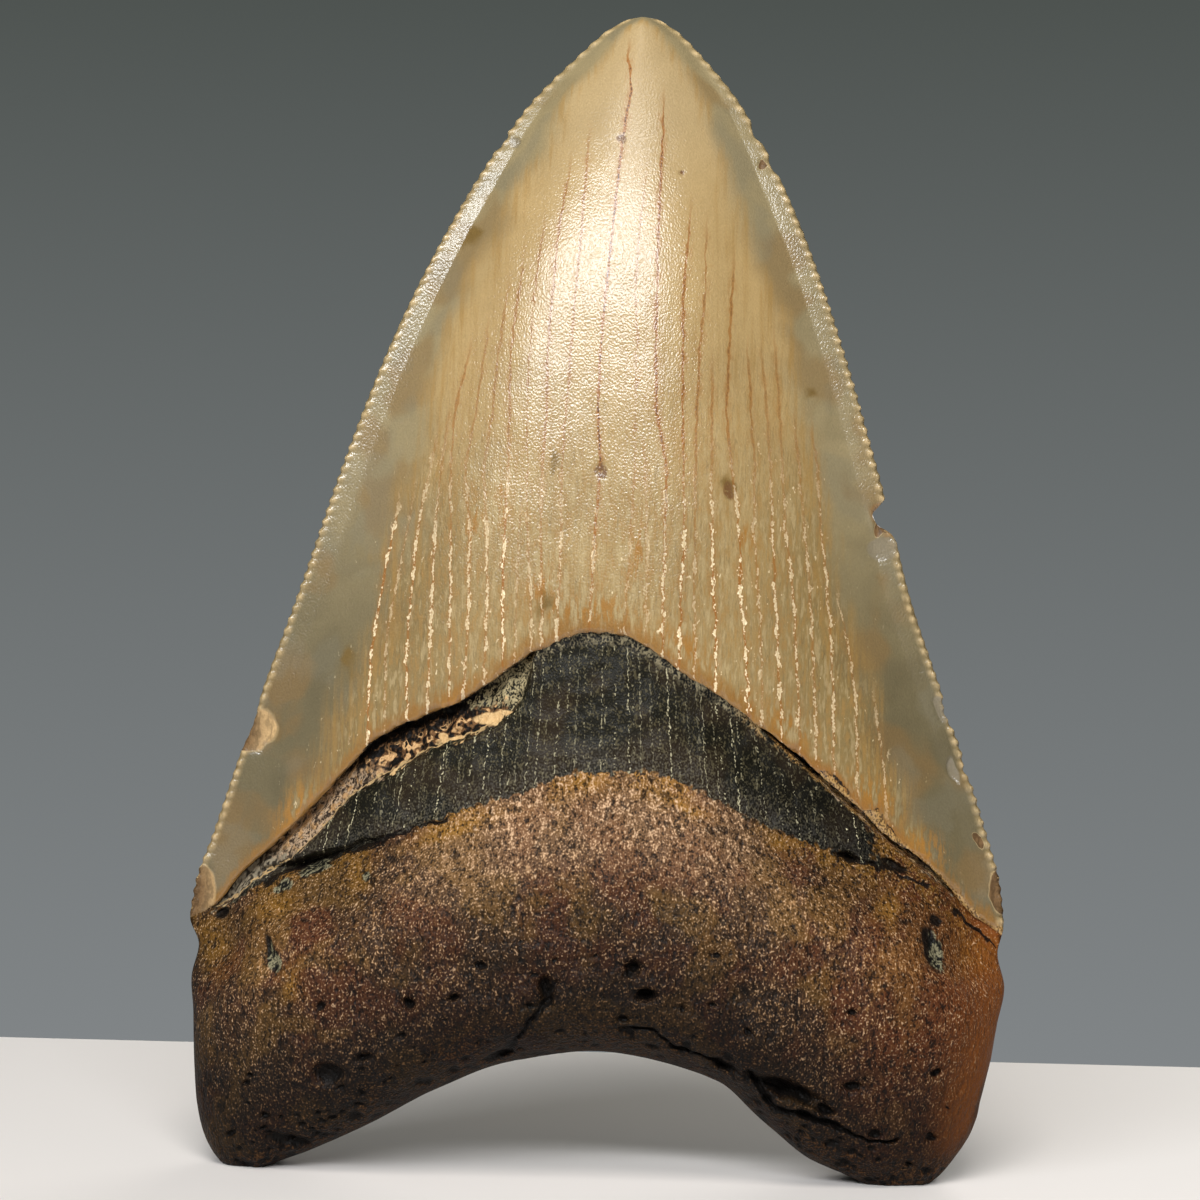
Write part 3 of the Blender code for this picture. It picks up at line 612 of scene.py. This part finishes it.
class Finish:
    """A procedural material, written as short expressions instead of node by node."""

    def __init__(self, name):
        self.material = bpy.data.materials.new(name)
        self.material.use_nodes = True
        self.tree = self.material.node_tree
        self.shader = self.tree.nodes["Principled BSDF"]
        self.place = self.node("ShaderNodeTexCoord").outputs["Object"]

    def node(self, kind, **settings):
        made = self.tree.nodes.new(kind)
        for key, value in settings.items():
            setattr(made, key, value)
        return made

    def put(self, value, socket):
        """Set a socket to a number or colour, or link it to another node's output."""
        if isinstance(value, bpy.types.NodeSocket):
            self.tree.links.new(value, socket)
        else:
            socket.default_value = value

    def math(self, kind, a, b=0.0, c=0.0):
        made = self.node("ShaderNodeMath", operation=kind)
        for value, socket in zip((a, b, c), made.inputs):
            self.put(value, socket)
        return made.outputs[0]

    def add(self, a, b):
        return self.math("ADD", a, b)

    def times(self, product, *factors):
        for factor in factors:
            product = self.math("MULTIPLY", product, factor)
        return product

    def mean(self, a, b):
        return self.times(self.add(a, b), 0.5)

    def minus(self, a, b):
        return self.math("SUBTRACT", a, b)

    def scale(self, a, b, c):
        """a times b plus c."""
        return self.math("MULTIPLY_ADD", a, b, c)

    def most(self, a, b):
        return self.math("MAXIMUM", a, b)

    def __getitem__(self, name):
        """One of the numbers that fields() gives for each point of the tooth."""
        return self.node("ShaderNodeAttribute", attribute_name=name).outputs["Fac"]

    def rise(self, value, low, high):
        """0 below low, 1 above high and smooth between; low may be above high for a fall."""
        made = self.node("ShaderNodeMapRange", interpolation_type="SMOOTHSTEP")
        flip = low > high
        ends = (min(low, high), max(low, high), float(flip), float(not flip))
        for number, socket in zip(ends, (1, 2, 3, 4)):
            made.inputs[socket].default_value = number
        self.put(value, made.inputs[0])
        return made.outputs[0]

    def spread(self, size, seed=0.0):
        """The place on the tooth, in lumps of a size in millimetres, which may differ along X, Y and Z."""
        size = size if isinstance(size, tuple) else (size,) * 3
        made = self.node("ShaderNodeVectorMath", operation="MULTIPLY_ADD")
        self.put(self.place, made.inputs[0])
        made.inputs[1].default_value = [1 / MM / each for each in size]
        made.inputs[2].default_value = (seed, seed * 1.7, seed * 0.6)
        return made.outputs[0]

    def cloud(self, size, seed=0.0, detail=3.0, rough=0.55):
        """Even noise about 0.5."""
        made = self.node("ShaderNodeTexNoise")
        self.put(self.spread(size, seed), made.inputs["Vector"])
        for name, value in (("Scale", 1.0), ("Detail", detail), ("Roughness", rough)):
            made.inputs[name].default_value = value
        return made.outputs["Fac"]

    def mix(self, part, a, b):
        made = self.node("ShaderNodeMix", data_type="RGBA")
        for value, socket in ((part, made.inputs[0]), (a, made.inputs[6]), (b, made.inputs[7])):
            self.put(value, socket)
        return made.outputs[2]

    def shade(self, colour, amount):
        """Multiply a colour by a number."""
        made = self.node("ShaderNodeVectorMath", operation="SCALE")
        self.put(colour, made.inputs[0])
        self.put(amount, made.inputs["Scale"])
        return made.outputs[0]


def tone(red, green, blue):
    """A colour from its 0 to 255 screen values."""
    return tuple((v / 12.92 if v <= 0.04045 else ((v + 0.055) / 1.055) ** 2.4)
                 for v in (red / 255, green / 255, blue / 255)) + (1.0,)


def hairline_distance(f):
    """Distance in millimetres to the nearest hairline crack."""
    wiggle = f.scale(f.cloud((60, 60, 1.3), 3.0, 1.0), 0.4, -0.2)
    gap = f["hairline_gap"]
    coordinate = f.add(f["hairline"], f.math("DIVIDE", wiggle, gap))
    off = f.math("ABSOLUTE", f.minus(coordinate, f.math("ROUND", coordinate)))
    return f.times(off, gap)


def hairlines(f, fine, away):
    """How much of a dark line and of a pale filling each place has, and the stained strip beside them."""
    patch = f.cloud((0.7, 0.7, 1.4), 5.0, 2.0, 0.7)
    torn = f.scale(fine, -0.34, away)
    brown_line = f.rise(f.scale(patch, -0.28, away), 0.05, -0.05)
    dots = f.rise(f.scale(patch, 0.6, f.times(fine, 0.8)), 0.7, 0.78)
    dark_line = f.times(f.rise(away, 0.1, 0.04), dots)
    pale_line = f.rise(f.scale(patch, -1.15, torn), -0.64, -0.76)
    dark = f.times(dark_line, f["hairline_dark"])
    pale = f.times(pale_line, f["hairline_pale"])
    either = f.most(f.times(f["hairline_dark"], 1.7), f["hairline_pale"])
    either = f.math("MINIMUM", either, 1.0)
    halo = f.times(f.rise(away, 0.8, 0.0), f.rise(patch, 0.4, 0.7))
    stain = f.times(f.most(f.times(halo, 0.7), brown_line), either)
    return dark, pale, stain, patch


def enamel_colour(f, fine, cloudy, teeth, away):
    height, inward, above, margin = f["height"], f["inward"], f["above"], f["margin"]
    dark, pale, stain, patch = hairlines(f, fine, away)
    dome = f.mix(f.rise(height, 38, 92), DOME_LOW, DOME_HIGH)
    dome = f.mix(f.rise(height, 92, 108), dome, DOME_TIP)
    dome = f.mix(f.times(f.rise(margin, 2.6, 1.0), f.rise(height, 82, 52)), dome, DOME_FLANK)
    streaks = f.cloud((0.6, 3.0, 9.0), 21.0, 2.0, 0.6)
    fibre = f.rise(f.math("ABSOLUTE", f.minus(streaks, 0.5)), 0.025, 0.0)
    dome = f.mix(f.times(fibre, f.rise(height, 98, 66)), dome, f.shade(dome, 0.78))
    brown_streak = f.times(f.rise(streaks, 0.5, 0.72), 0.5, f.rise(height, 104, 70))
    dome = f.mix(brown_streak, dome, tone(138, 108, 60))
    mottle = f.cloud((0.5, 2.0, 2.2), 7.0, 2.0, 0.75)
    low = f.rise(height, 88, 60)
    dome = f.mix(f.times(low, f.rise(mottle, 0.5, 0.34), 0.5), dome, tone(170, 150, 110))
    dome = f.mix(f.times(low, f.rise(mottle, 0.52, 0.64), 0.55), dome, tone(146, 112, 62))
    # The thin margin's darker olive grey is partly its own colour and partly painted shade standing for the
    # dark background seen through the thin enamel.
    thin = f.mix(f.rise(height, 44, 74), MARGIN_LOW, MARGIN_HIGH)
    thin = f.mix(f.rise(cloudy, 0.4, 0.7), thin, f.shade(thin, 0.84))
    thin = f.mix(f.times(f.rise(f["tawny"], 0.5, 0.72), 0.5), thin, tone(120, 92, 52))
    thin = f.mix(f.times(f.rise(f["purple"], 0.5, 0.7), 0.3), thin, tone(112, 106, 88))
    margin = f.add(margin, f.scale(cloudy, 0.5, -0.25))
    base = f.mix(f.rise(margin, 1.35, 0.72), dome, thin)
    rusty = f.times(f.rise(margin, 0.7, 1.05), f.times(f.rise(margin, 1.6, 1.15), f.rise(streaks, 0.4, 0.7)))
    base = f.mix(f.times(rusty, 0.5), base, tone(146, 112, 58))
    lip = f.rise(f.scale(mottle, -3.4, above), 0.7, -1.4)
    base = f.mix(f.times(lip, 0.85), base, tone(132, 92, 38))
    base = f.mix(f.times(f["amber_stain"], f.rise(mottle, 0.42, 0.58)), base, tone(146, 102, 42))
    base = f.mix(f.times(f.rise(f["olive_stain"], 0.1, 0.8), 0.85), base, tone(106, 82, 36))
    # Serration beads along each edge: lighter crests and darker gaps between them are painted highlight and
    # painted shade over the edge's own peach colour.
    crest = f.mix(f.rise(patch, 0.4, 0.62), tone(160, 138, 98), tone(204, 176, 130))
    bead = f.mix(teeth, tone(134, 114, 77), crest)
    base = f.mix(f.times(f.rise(inward, 1.1, 0.3), 0.75), base, bead)
    base = f.mix(f.times(stain, 0.9), base, tone(140, 88, 30))
    crumbs = f.times(f.rise(f.scale(fine, 0.16, patch), 0.76, 0.84), f.rise(margin, 0.3, 1.4))
    pale = f.most(pale, f.times(crumbs, low, 0.6))
    base = f.mix(pale, base, f.mix(fine, tone(186, 156, 106), tone(250, 234, 198)))
    base = f.mix(f.times(dark, 0.92), base, tone(54, 30, 12))
    near = f["near_wander"]
    wander = f.math("ABSOLUTE", f.scale(fine, 0.2, f["wander"]))
    base = f.mix(f.times(f.rise(wander, 1.0, 0.1), f.times(near, 0.45)), base, tone(140, 92, 42))
    tan = f.mix(f.rise(fine, 0.32, 0.6), tone(92, 66, 34), tone(166, 130, 78))
    worn = f.scale(f.minus(patch, 0.5), 1.2, f["worn"])
    base = f.mix(f.rise(worn, -0.15, 0.35), base, tan)
    broken_line = f.times(f.rise(wander, 0.12, 0.05), f.rise(patch, 0.4, 0.6))
    base = f.mix(f.times(broken_line, near), base, tone(34, 22, 12))
    # Chip faces: darker at the outer end, lighter inward and rippled, with a pale rim: painted shade and
    # painted highlight that give the hollow its depth, over the chip's own paler colour.
    wave = f.math("SINE", f.scale(f["ripple"], 5.0, f.times(patch, 14.0)))
    flake = f.mix(f.rise(f["ripple"], 2.2, 5.0), tone(100, 76, 50), tone(176, 146, 104))
    flake = f.shade(flake, f.scale(wave, 0.22, 0.92))
    base = f.mix(f.times(f.rise(f["pale_chip"], 0.16, 0.3), 0.35), base, tone(196, 168, 124))
    base = f.mix(f.rise(f["pale_chip"], 0.3, 0.42), base, flake)
    base = f.mix(f.times(f.rise(f["glassy_chip"], 0.2, 0.6), 0.7), base, tone(122, 112, 94))
    pit = f.times(f.rise(f["pit"], 0.2, 0.7), f.rise(fine, 0.2, 0.5))
    base = f.mix(pit, base, tone(104, 72, 40))
    base = f.shade(base, f.scale(cloudy, 0.16, 0.92))
    return f.shade(base, f.scale(fine, 0.2, 0.9))


def band_colour(f, fine, cloudy, ragged):
    above, root_gap, along = f["above"], f["root_gap"], f["along"]
    base = f.mix(f.rise(cloudy, 0.35, 0.65), tone(16, 14, 5), tone(35, 26, 14))
    dash = f.cloud((0.5, 0.5, 1.0), 19.0, 1.0, 0.8)
    haze = f.times(f.rise(root_gap, -4.6, -0.2), f.rise(fine, 0.34, 0.7))
    base = f.mix(f.times(haze, 0.5), base, tone(84, 80, 74))
    speck = f.rise(f.mean(dash, fine), 0.5, 0.66)
    base = f.mix(f.times(speck, 0.5), base, tone(92, 84, 60))
    # Painted shade: the band darkens towards its right end, away from the light. It is also darker towards
    # its left end.
    base = f.shade(base, f.rise(along, 42, 6))
    base = f.shade(base, f.scale(f.rise(along, -30, -14), 0.3, 0.7))
    place = f.scale(along, 1.05, f.times(dash, 0.9))
    number = f.math("ROUND", place)
    random = f.node("ShaderNodeTexWhiteNoise", noise_dimensions="1D")
    f.put(number, random.inputs["W"])
    chances = f.node("ShaderNodeSeparateColor")
    f.put(random.outputs["Color"], chances.inputs[0])
    shift, strength, rarity = chances.outputs
    off = f.add(f.minus(place, number), f.scale(shift, 0.7, -0.35))
    seen = f.rise(f.scale(rarity, -0.2, f.mean(dash, fine)), 0.36, 0.44)
    hair = f.times(f.rise(f.scale(fine, -0.14, f.math("ABSOLUTE", off)), 0.0, -0.06), seen)
    hair = f.times(hair, f.scale(f.times(strength, strength), 0.85, 0.15))
    base = f.mix(hair, base, f.mix(fine, tone(92, 88, 66), tone(214, 204, 168)))
    rim = f.rise(f.scale(ragged, 1.8, above), -1.5, -0.8)
    gritty = f.mix(f.rise(f.mean(dash, fine), 0.4, 0.62), tone(17, 15, 11), tone(122, 112, 88))
    gritty = f.mix(f.rise(ragged, -0.02, 0.1), gritty, f.shade(gritty, 0.35))
    tan = f.mix(f.rise(fine, 0.32, 0.6), tone(74, 50, 24), tone(176, 136, 78))
    gritty = f.mix(f.times(f.rise(along, 14, 22), f.rise(ragged, 0.1, -0.06)), gritty, tan)
    return f.mix(rim, base, gritty)


def root_colour(f, fine, cloudy, grain, ragged):
    root_gap, foot_gap, along = f["root_gap"], f["foot_gap"], f["along"]
    tawny, purple = f["tawny"], f["purple"]
    base = f.mix(f.rise(f["red"], 0.36, 0.64), tone(66, 44, 25), tone(84, 47, 26))
    base = f.mix(f.times(f.rise(purple, 0.46, 0.66), 0.6), base, tone(68, 48, 34))
    base = f.mix(f.times(f.rise(tawny, 0.5, 0.68), 0.7), base, tone(106, 76, 34))
    base = f.mix(f.times(f.rise(along, 18, 39), 0.6), base, tone(112, 58, 23))
    centre = f.rise(f.math("ABSOLUTE", along), 23, 9)
    # Painted light: the upper middle of the root, whose bulge faces the light from above, gets a lighter
    # colour here, lighter flecks below, and is kept brighter further on.
    top = f.times(f.rise(foot_gap, 15, 24), centre)
    base = f.mix(f.times(top, 0.5), base, tone(138, 104, 72))
    edge = f.times(f.rise(root_gap, 3.6, 0.0), f.rise(f.scale(fine, 0.5, ragged), 0.1, 0.3))
    ochre = f.most(f.times(edge, f.rise(tawny, 0.3, 0.6)), f["ochre"])
    base = f.mix(f.times(ochre, 0.8), base, tone(148, 104, 36))
    light = f.mix(top, tone(176, 130, 82), tone(206, 168, 132))
    sugar = f.add(f.times(grain, 0.6), f.times(fine, 0.4))
    patchy_light = f.scale(f.rise(purple, 0.3, 0.7), 0.4, f.times(top, 0.4))
    base = f.mix(f.times(f.rise(sugar, 0.5, 0.71), f.add(patchy_light, 0.25)), base, light)
    base = f.mix(f.times(f.rise(sugar, 0.49, 0.33), 0.88), base, tone(15, 8, 4))
    base = f.mix(f.times(f.rise(ragged, 0.06, 0.2), 0.7), base, tone(20, 11, 5))
    # Painted shade: the root darkens towards its foot, where it curves down away from the light, over its own
    # darker colour there.
    base = f.shade(base, f.scale(f.rise(foot_gap, 5, 25), 0.8, 0.12))
    base = f.shade(base, f.scale(top, 0.1, 0.96))
    base = f.shade(base, f.scale(f.times(f.rise(root_gap, 9, 1), f.minus(1.0, centre)), -0.4, 1.0))
    base = f.mix(f.times(f.rise(along, 33, 40), 0.5), base, tone(140, 78, 26))
    # Painted glints: small pale sparkles over the root, dimmer towards the foot as painted shade.
    glint = f.mix(f.rise(foot_gap, 4, 18), tone(104, 74, 46), tone(204, 170, 136))
    base = f.mix(f.times(f.rise(fine, 0.6, 0.8), f.scale(grain, 1.6, -0.42)), base, glint)
    low = f.times(f.rise(f.scale(cloudy, 7.0, foot_gap), 7.5, 4.0), 0.7)
    base = f.mix(low, base, f.mix(f.rise(sugar, 0.48, 0.6), tone(9, 5, 2), tone(72, 45, 20)))
    # Painted shade: holes, pores and open cracks are filled with near black, standing for the shade inside
    # them.
    hole = f.rise(f["hole"], 0.25, 0.7)
    open_crack = f.math("ABSOLUTE", f.scale(ragged, 0.8, f["crack"]))
    open_crack = f.minus(open_crack, f.times(f["crack_width"], f.scale(grain, 2.2, -0.1)))
    open_crack = f.rise(open_crack, 0.03, -0.05)
    hole = f.most(hole, f.times(open_crack, f["near_crack"]))
    base = f.mix(f.times(hole, 0.95), base, tone(6, 4, 3))
    glassy = f.mix(f.rise(grain, 0.44, 0.58), tone(15, 15, 11), tone(118, 112, 88))
    glassy = f.mix(f.rise(fine, 0.36, 0.5), f.shade(glassy, 0.3), glassy)
    return f.mix(f.rise(f.times(f["crystal"], f.add(grain, 0.5)), 0.3, 0.6), base, glassy)


def broken_colour(f, fine, grain, ragged):
    """The torn strip under the enamel on the left: grey at the top, and a pale ledge at the foot."""
    lumps = f.minus(0.5, ragged)
    above = f["above"]
    height = f.scale(ragged, 4.0, f["height"])
    base = f.mix(f.rise(grain, 0.42, 0.6), tone(20, 12, 7), tone(104, 74, 46))
    base = f.mix(f.rise(lumps, 0.55, 0.61), base, f.mix(fine, tone(160, 118, 74), tone(214, 176, 128)))
    # Painted shade: near black in the hollows between the lumps.
    base = f.mix(f.rise(lumps, 0.48, 0.41), base, tone(12, 8, 5))
    gritty = f.mix(f.rise(f.mean(grain, fine), 0.4, 0.58), tone(28, 26, 19), tone(158, 144, 110))
    base = f.mix(f.rise(height, 46.2, 47.0), base, gritty)
    ledge = f.mix(f.rise(f.mean(grain, fine), 0.38, 0.58), tone(60, 46, 34), tone(160, 136, 110))
    ledge = f.mix(f.times(f.rise(lumps, 0.5, 0.64), 0.6), ledge, tone(176, 134, 84))
    # Painted shade in the hollows of the ledge.
    ledge = f.mix(f.times(f.rise(f.mean(lumps, grain), 0.45, 0.38), 0.85), ledge, tone(30, 20, 13))
    base = f.mix(f.rise(height, 40.6, 38.6), base, ledge)
    fibrous = f.mix(f.rise(grain, 0.4, 0.6), tone(44, 38, 30), tone(126, 116, 98))
    base = f.mix(f.rise(height, 31.6, 30.4), base, fibrous)
    low_edge = f.math("ABSOLUTE", f.scale(ragged, 1.6, f.minus(f["broken"], 0.35)))
    base = f.mix(f.times(f.rise(low_edge, 0.2, 0.06), f.rise(height, 46, 44)), base, tone(170, 142, 100))
    cream = f.mix(grain, tone(164, 122, 72), tone(226, 194, 144))
    base = f.mix(f.rise(f["cream"], 0.3, 0.5), base, cream)
    # Painted shadow under the overhanging enamel lip, over a real dark gap: a thick ragged black line in the
    # upper torn strip and a thin one along the whole strip.
    gap = f.rise(f.scale(lumps, 7.0, above), 2.1, 2.7)
    gap = f.times(gap, f.times(f.rise(height, 49.0, 47.5), f.rise(height, 38.6, 40.6)))
    thin_gap_and_shadow = f.rise(f.scale(ragged, 1.4, above), -0.3, -0.14)
    return f.mix(f.most(gap, f.times(thin_gap_and_shadow, 0.85)), base, tone(9, 6, 4))


# Colours of the enamel: the dome low, high, at the tip and on its lower flanks; the thin margin low and high
DOME_LOW = tone(139, 118, 78)
DOME_HIGH = tone(166, 139, 93)
DOME_TIP = tone(163, 140, 101)
DOME_FLANK = tone(120, 100, 61)
# The margin colours are partly painted shade: the dark background seen through the thin enamel.
MARGIN_LOW = tone(97, 87, 62)
MARGIN_HIGH = tone(140, 125, 92)
SHINE = {"Specular IOR Level": 0.12, "Coat Roughness": 0.21, "Coat IOR": 1.65}
COAT_LEAST, COAT_ADDED = 0.03, 0.87  # weight of the coat off the enamel, and what the enamel adds
# Sizes of the three noises that the whole tooth shares, in millimetres along X, Y and Z
FINE_SIZE = (0.18, 0.18, 0.22)
GRAIN_SIZE = (0.55, 0.6, 1.05)
RAGGED_SIZE = 0.9
# Heights of the relief in the finish, in millimetres
SKIN_RELIEF = 0.03
BEAD_RELIEF = 0.06
BAND_RELIEF = 0.05
GRAIN_RELIEF = 0.36
GRIT_RELIEF = 0.08


def tooth_finish():
    f = Finish("tooth_finish")
    for name, value in SHINE.items():
        f.shader.inputs[name].default_value = value
    above, root_gap, height = f["above"], f["root_gap"], f["height"]
    cloudy = f["cloudy"]
    fine = f.cloud(FINE_SIZE, 71.0, 0.0)
    grain = f.cloud(GRAIN_SIZE, 14.0, 1.0, 0.95)
    ragged = f.minus(f.cloud(RAGGED_SIZE, 51.0, 1.0, 0.7), 0.5)
    side = f.math("SIGN", f["sideways"])
    run = f.times(height, SLANT)
    shift = f.times(f.math("SINE", f.scale(run, 1 / SHIFT_RUN, side)), PITCH_SHIFT)
    phase = f.scale(run, 2 * np.pi / SERRATION_PITCH, shift)
    teeth = f.scale(f.math("COSINE", phase), 0.5, 0.5)
    away = hairline_distance(f)
    enamel = enamel_colour(f, fine, cloudy, teeth, away)
    band = band_colour(f, fine, cloudy, ragged)
    root = root_colour(f, fine, cloudy, grain, ragged)
    on_root = f.rise(f.scale(ragged, 2.0, root_gap), -0.15, 0.15)
    along = f.scale(ragged, 6.0, f["along"])
    on_root = f.most(on_root, f.most(f.rise(along, 27.5, 29.0), f.rise(along, -35.5, -36.5)))
    torn = f.rise(f.scale(ragged, 2.4, f["broken"]), -0.1, 0.25)
    rough_part = f.most(on_root, torn)
    on_enamel = f.rise(f.scale(ragged, 0.4, above), -0.14, -0.04)
    lower = f.mix(on_root, band, root)
    lower = f.mix(torn, lower, broken_colour(f, fine, grain, ragged))
    f.put(f.mix(on_enamel, lower, enamel), f.shader.inputs["Base Color"])
    gloss = f.scale(fine, 0.3, 0.25)
    satin = f.scale(fine, 0.4, 0.4)
    dull = f.scale(grain, 0.4, 0.5)
    f.put(f.mix(on_enamel, f.mix(rough_part, satin, dull), gloss), f.shader.inputs["Roughness"])
    bead = f.times(f.rise(f["inward"], 1.0, 0.2), f.times(teeth, BEAD_RELIEF))
    skin = f.scale(fine, SKIN_RELIEF, bead)
    plain = f.times(fine, BAND_RELIEF)
    smooth_part = f.rise(above, -0.14, -0.04)
    rough_relief = f.most(f.rise(root_gap, -0.2, 0.2), f.rise(f["broken"], -0.1, 0.25))
    grit = f.scale(grain, GRAIN_RELIEF, f.times(fine, GRIT_RELIEF))
    bump = f.node("ShaderNodeBump")
    bump.inputs["Strength"].default_value = 1.0
    bump.inputs["Distance"].default_value = MM
    f.put(f.mix(smooth_part, f.mix(rough_relief, plain, grit), skin), bump.inputs["Height"])
    f.put(bump.outputs[0], f.shader.inputs["Normal"])
    f.put(bump.outputs[0], f.shader.inputs["Coat Normal"])
    coat = f.times(on_enamel, f.times(f.rise(height, 113, 93), f.rise(f["pale_chip"], 0.5, 0.1)))
    f.put(f.scale(coat, COAT_ADDED, COAT_LEAST), f.shader.inputs["Coat Weight"])
    return f.material


# The studio, in metres and watts: place, aim, size, power and colour of each light
WARM, COOL = (1.0, 0.96, 0.9), (0.95, 0.98, 1.0)
LIGHTS = [("key", (0.0, -0.54, 0.8), (0, 0, 0.06), (0.4, 0.28), 4.8, WARM),
          ("sheen", (-0.17, -0.87, 0.59), (0, 0, 0.08), (1.3, 0.16), 13.5, COOL),
          ("fill", (-0.8, -0.5, 0.24), (0, 0, 0.06), (0.6, 0.6), 0.15, COOL),
          ("rim", (0.3, 0.8, 0.3), (0, 0, 0.06), (0.6, 0.3), 2.8, WARM)]
FLOOR_PLACE = (0, -0.05, 0)
FLOOR_SIZE = (0.9, 0.26, 1)
FLOOR_PAINT = {"Base Color": (0.74, 0.7, 0.68, 1), "Roughness": 0.7}
BACKDROP_LOW, BACKDROP_HIGH = tone(129, 133, 135), tone(77, 82, 79)


def area_light(name, place, aim, size, power, colour):
    data = bpy.data.lights.new(name, "AREA")
    data.shape = "RECTANGLE"
    data.size, data.size_y = size
    data.energy = power
    data.color = colour
    lamp = bpy.data.objects.new(name, data)
    bpy.context.scene.collection.objects.link(lamp)
    lamp.location = place
    lamp.rotation_euler = (Vector(aim) - Vector(place)).to_track_quat("-Z", "Y").to_euler()


def studio():
    """A pale floor, a grey backdrop and four soft lights."""
    bpy.ops.mesh.primitive_plane_add(size=1, location=FLOOR_PLACE)
    floor = bpy.context.object
    floor.name = "floor"
    floor.scale = FLOOR_SIZE
    paint = bpy.data.materials.new("floor_paint")
    paint.use_nodes = True
    for name, value in FLOOR_PAINT.items():
        paint.node_tree.nodes["Principled BSDF"].inputs[name].default_value = value
    floor.data.materials.append(paint)
    world = bpy.data.worlds.new("backdrop")
    bpy.context.scene.world = world
    world.use_nodes = True
    nodes, links = world.node_tree.nodes, world.node_tree.links
    place = nodes.new("ShaderNodeTexCoord")
    split = nodes.new("ShaderNodeSeparateXYZ")
    ramp = nodes.new("ShaderNodeMapRange")
    tint = nodes.new("ShaderNodeMix")
    tint.data_type = "RGBA"
    links.new(place.outputs["Generated"], split.inputs[0])
    links.new(split.outputs["Z"], ramp.inputs[0])
    ramp.inputs[1].default_value, ramp.inputs[2].default_value = -0.15, 0.2
    links.new(ramp.outputs[0], tint.inputs[0])
    tint.inputs[6].default_value = BACKDROP_LOW
    tint.inputs[7].default_value = BACKDROP_HIGH
    links.new(tint.outputs[2], nodes["Background"].inputs["Color"])
    for light in LIGHTS:
        area_light(*light)


# The camera stands level with the middle of the tooth, a little to its right and tilted a degree
CAMERA_DISTANCE = 300
CAMERA_HEIGHT = 57.0
CAMERA_YAW = 3.0
CAMERA_ROLL = 1.0
AIM_DEPTH = -2.7
VIEW_WIDTH = 120  # width of the view at the aim point
SENSOR = 36


def camera():
    yaw, roll = np.radians(CAMERA_YAW), np.radians(CAMERA_ROLL)
    forward = np.array([-np.sin(yaw), np.cos(yaw), 0.0])
    level = np.array([np.cos(yaw), np.sin(yaw), 0.0])
    right = np.cos(roll) * level + np.sin(roll) * np.array([0, 0, 1.0])
    up = -np.sin(roll) * level + np.cos(roll) * np.array([0, 0, 1.0])
    aim = np.array([-ORIGIN[0], AIM_DEPTH - ORIGIN[1], CAMERA_HEIGHT])
    eye = (aim - CAMERA_DISTANCE * forward) * MM
    data = bpy.data.cameras.new("camera")
    data.sensor_width = SENSOR
    data.lens = SENSOR * CAMERA_DISTANCE / VIEW_WIDTH
    data.clip_start = 0.01
    made = bpy.data.objects.new("camera", data)
    bpy.context.scene.collection.objects.link(made)
    turn = np.stack([right, up, -forward], 1)
    made.matrix_world = Matrix([[*row, at] for row, at in zip(turn, eye)] + [[0, 0, 0, 1]])
    bpy.context.scene.camera = made


def main():
    camera()
    studio()
    bpy.context.scene.view_settings.view_transform = "Standard"
    tooth = build_tooth()
    tooth.data.materials.append(tooth_finish())
    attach(tooth, "root")
    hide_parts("tooth")


main()
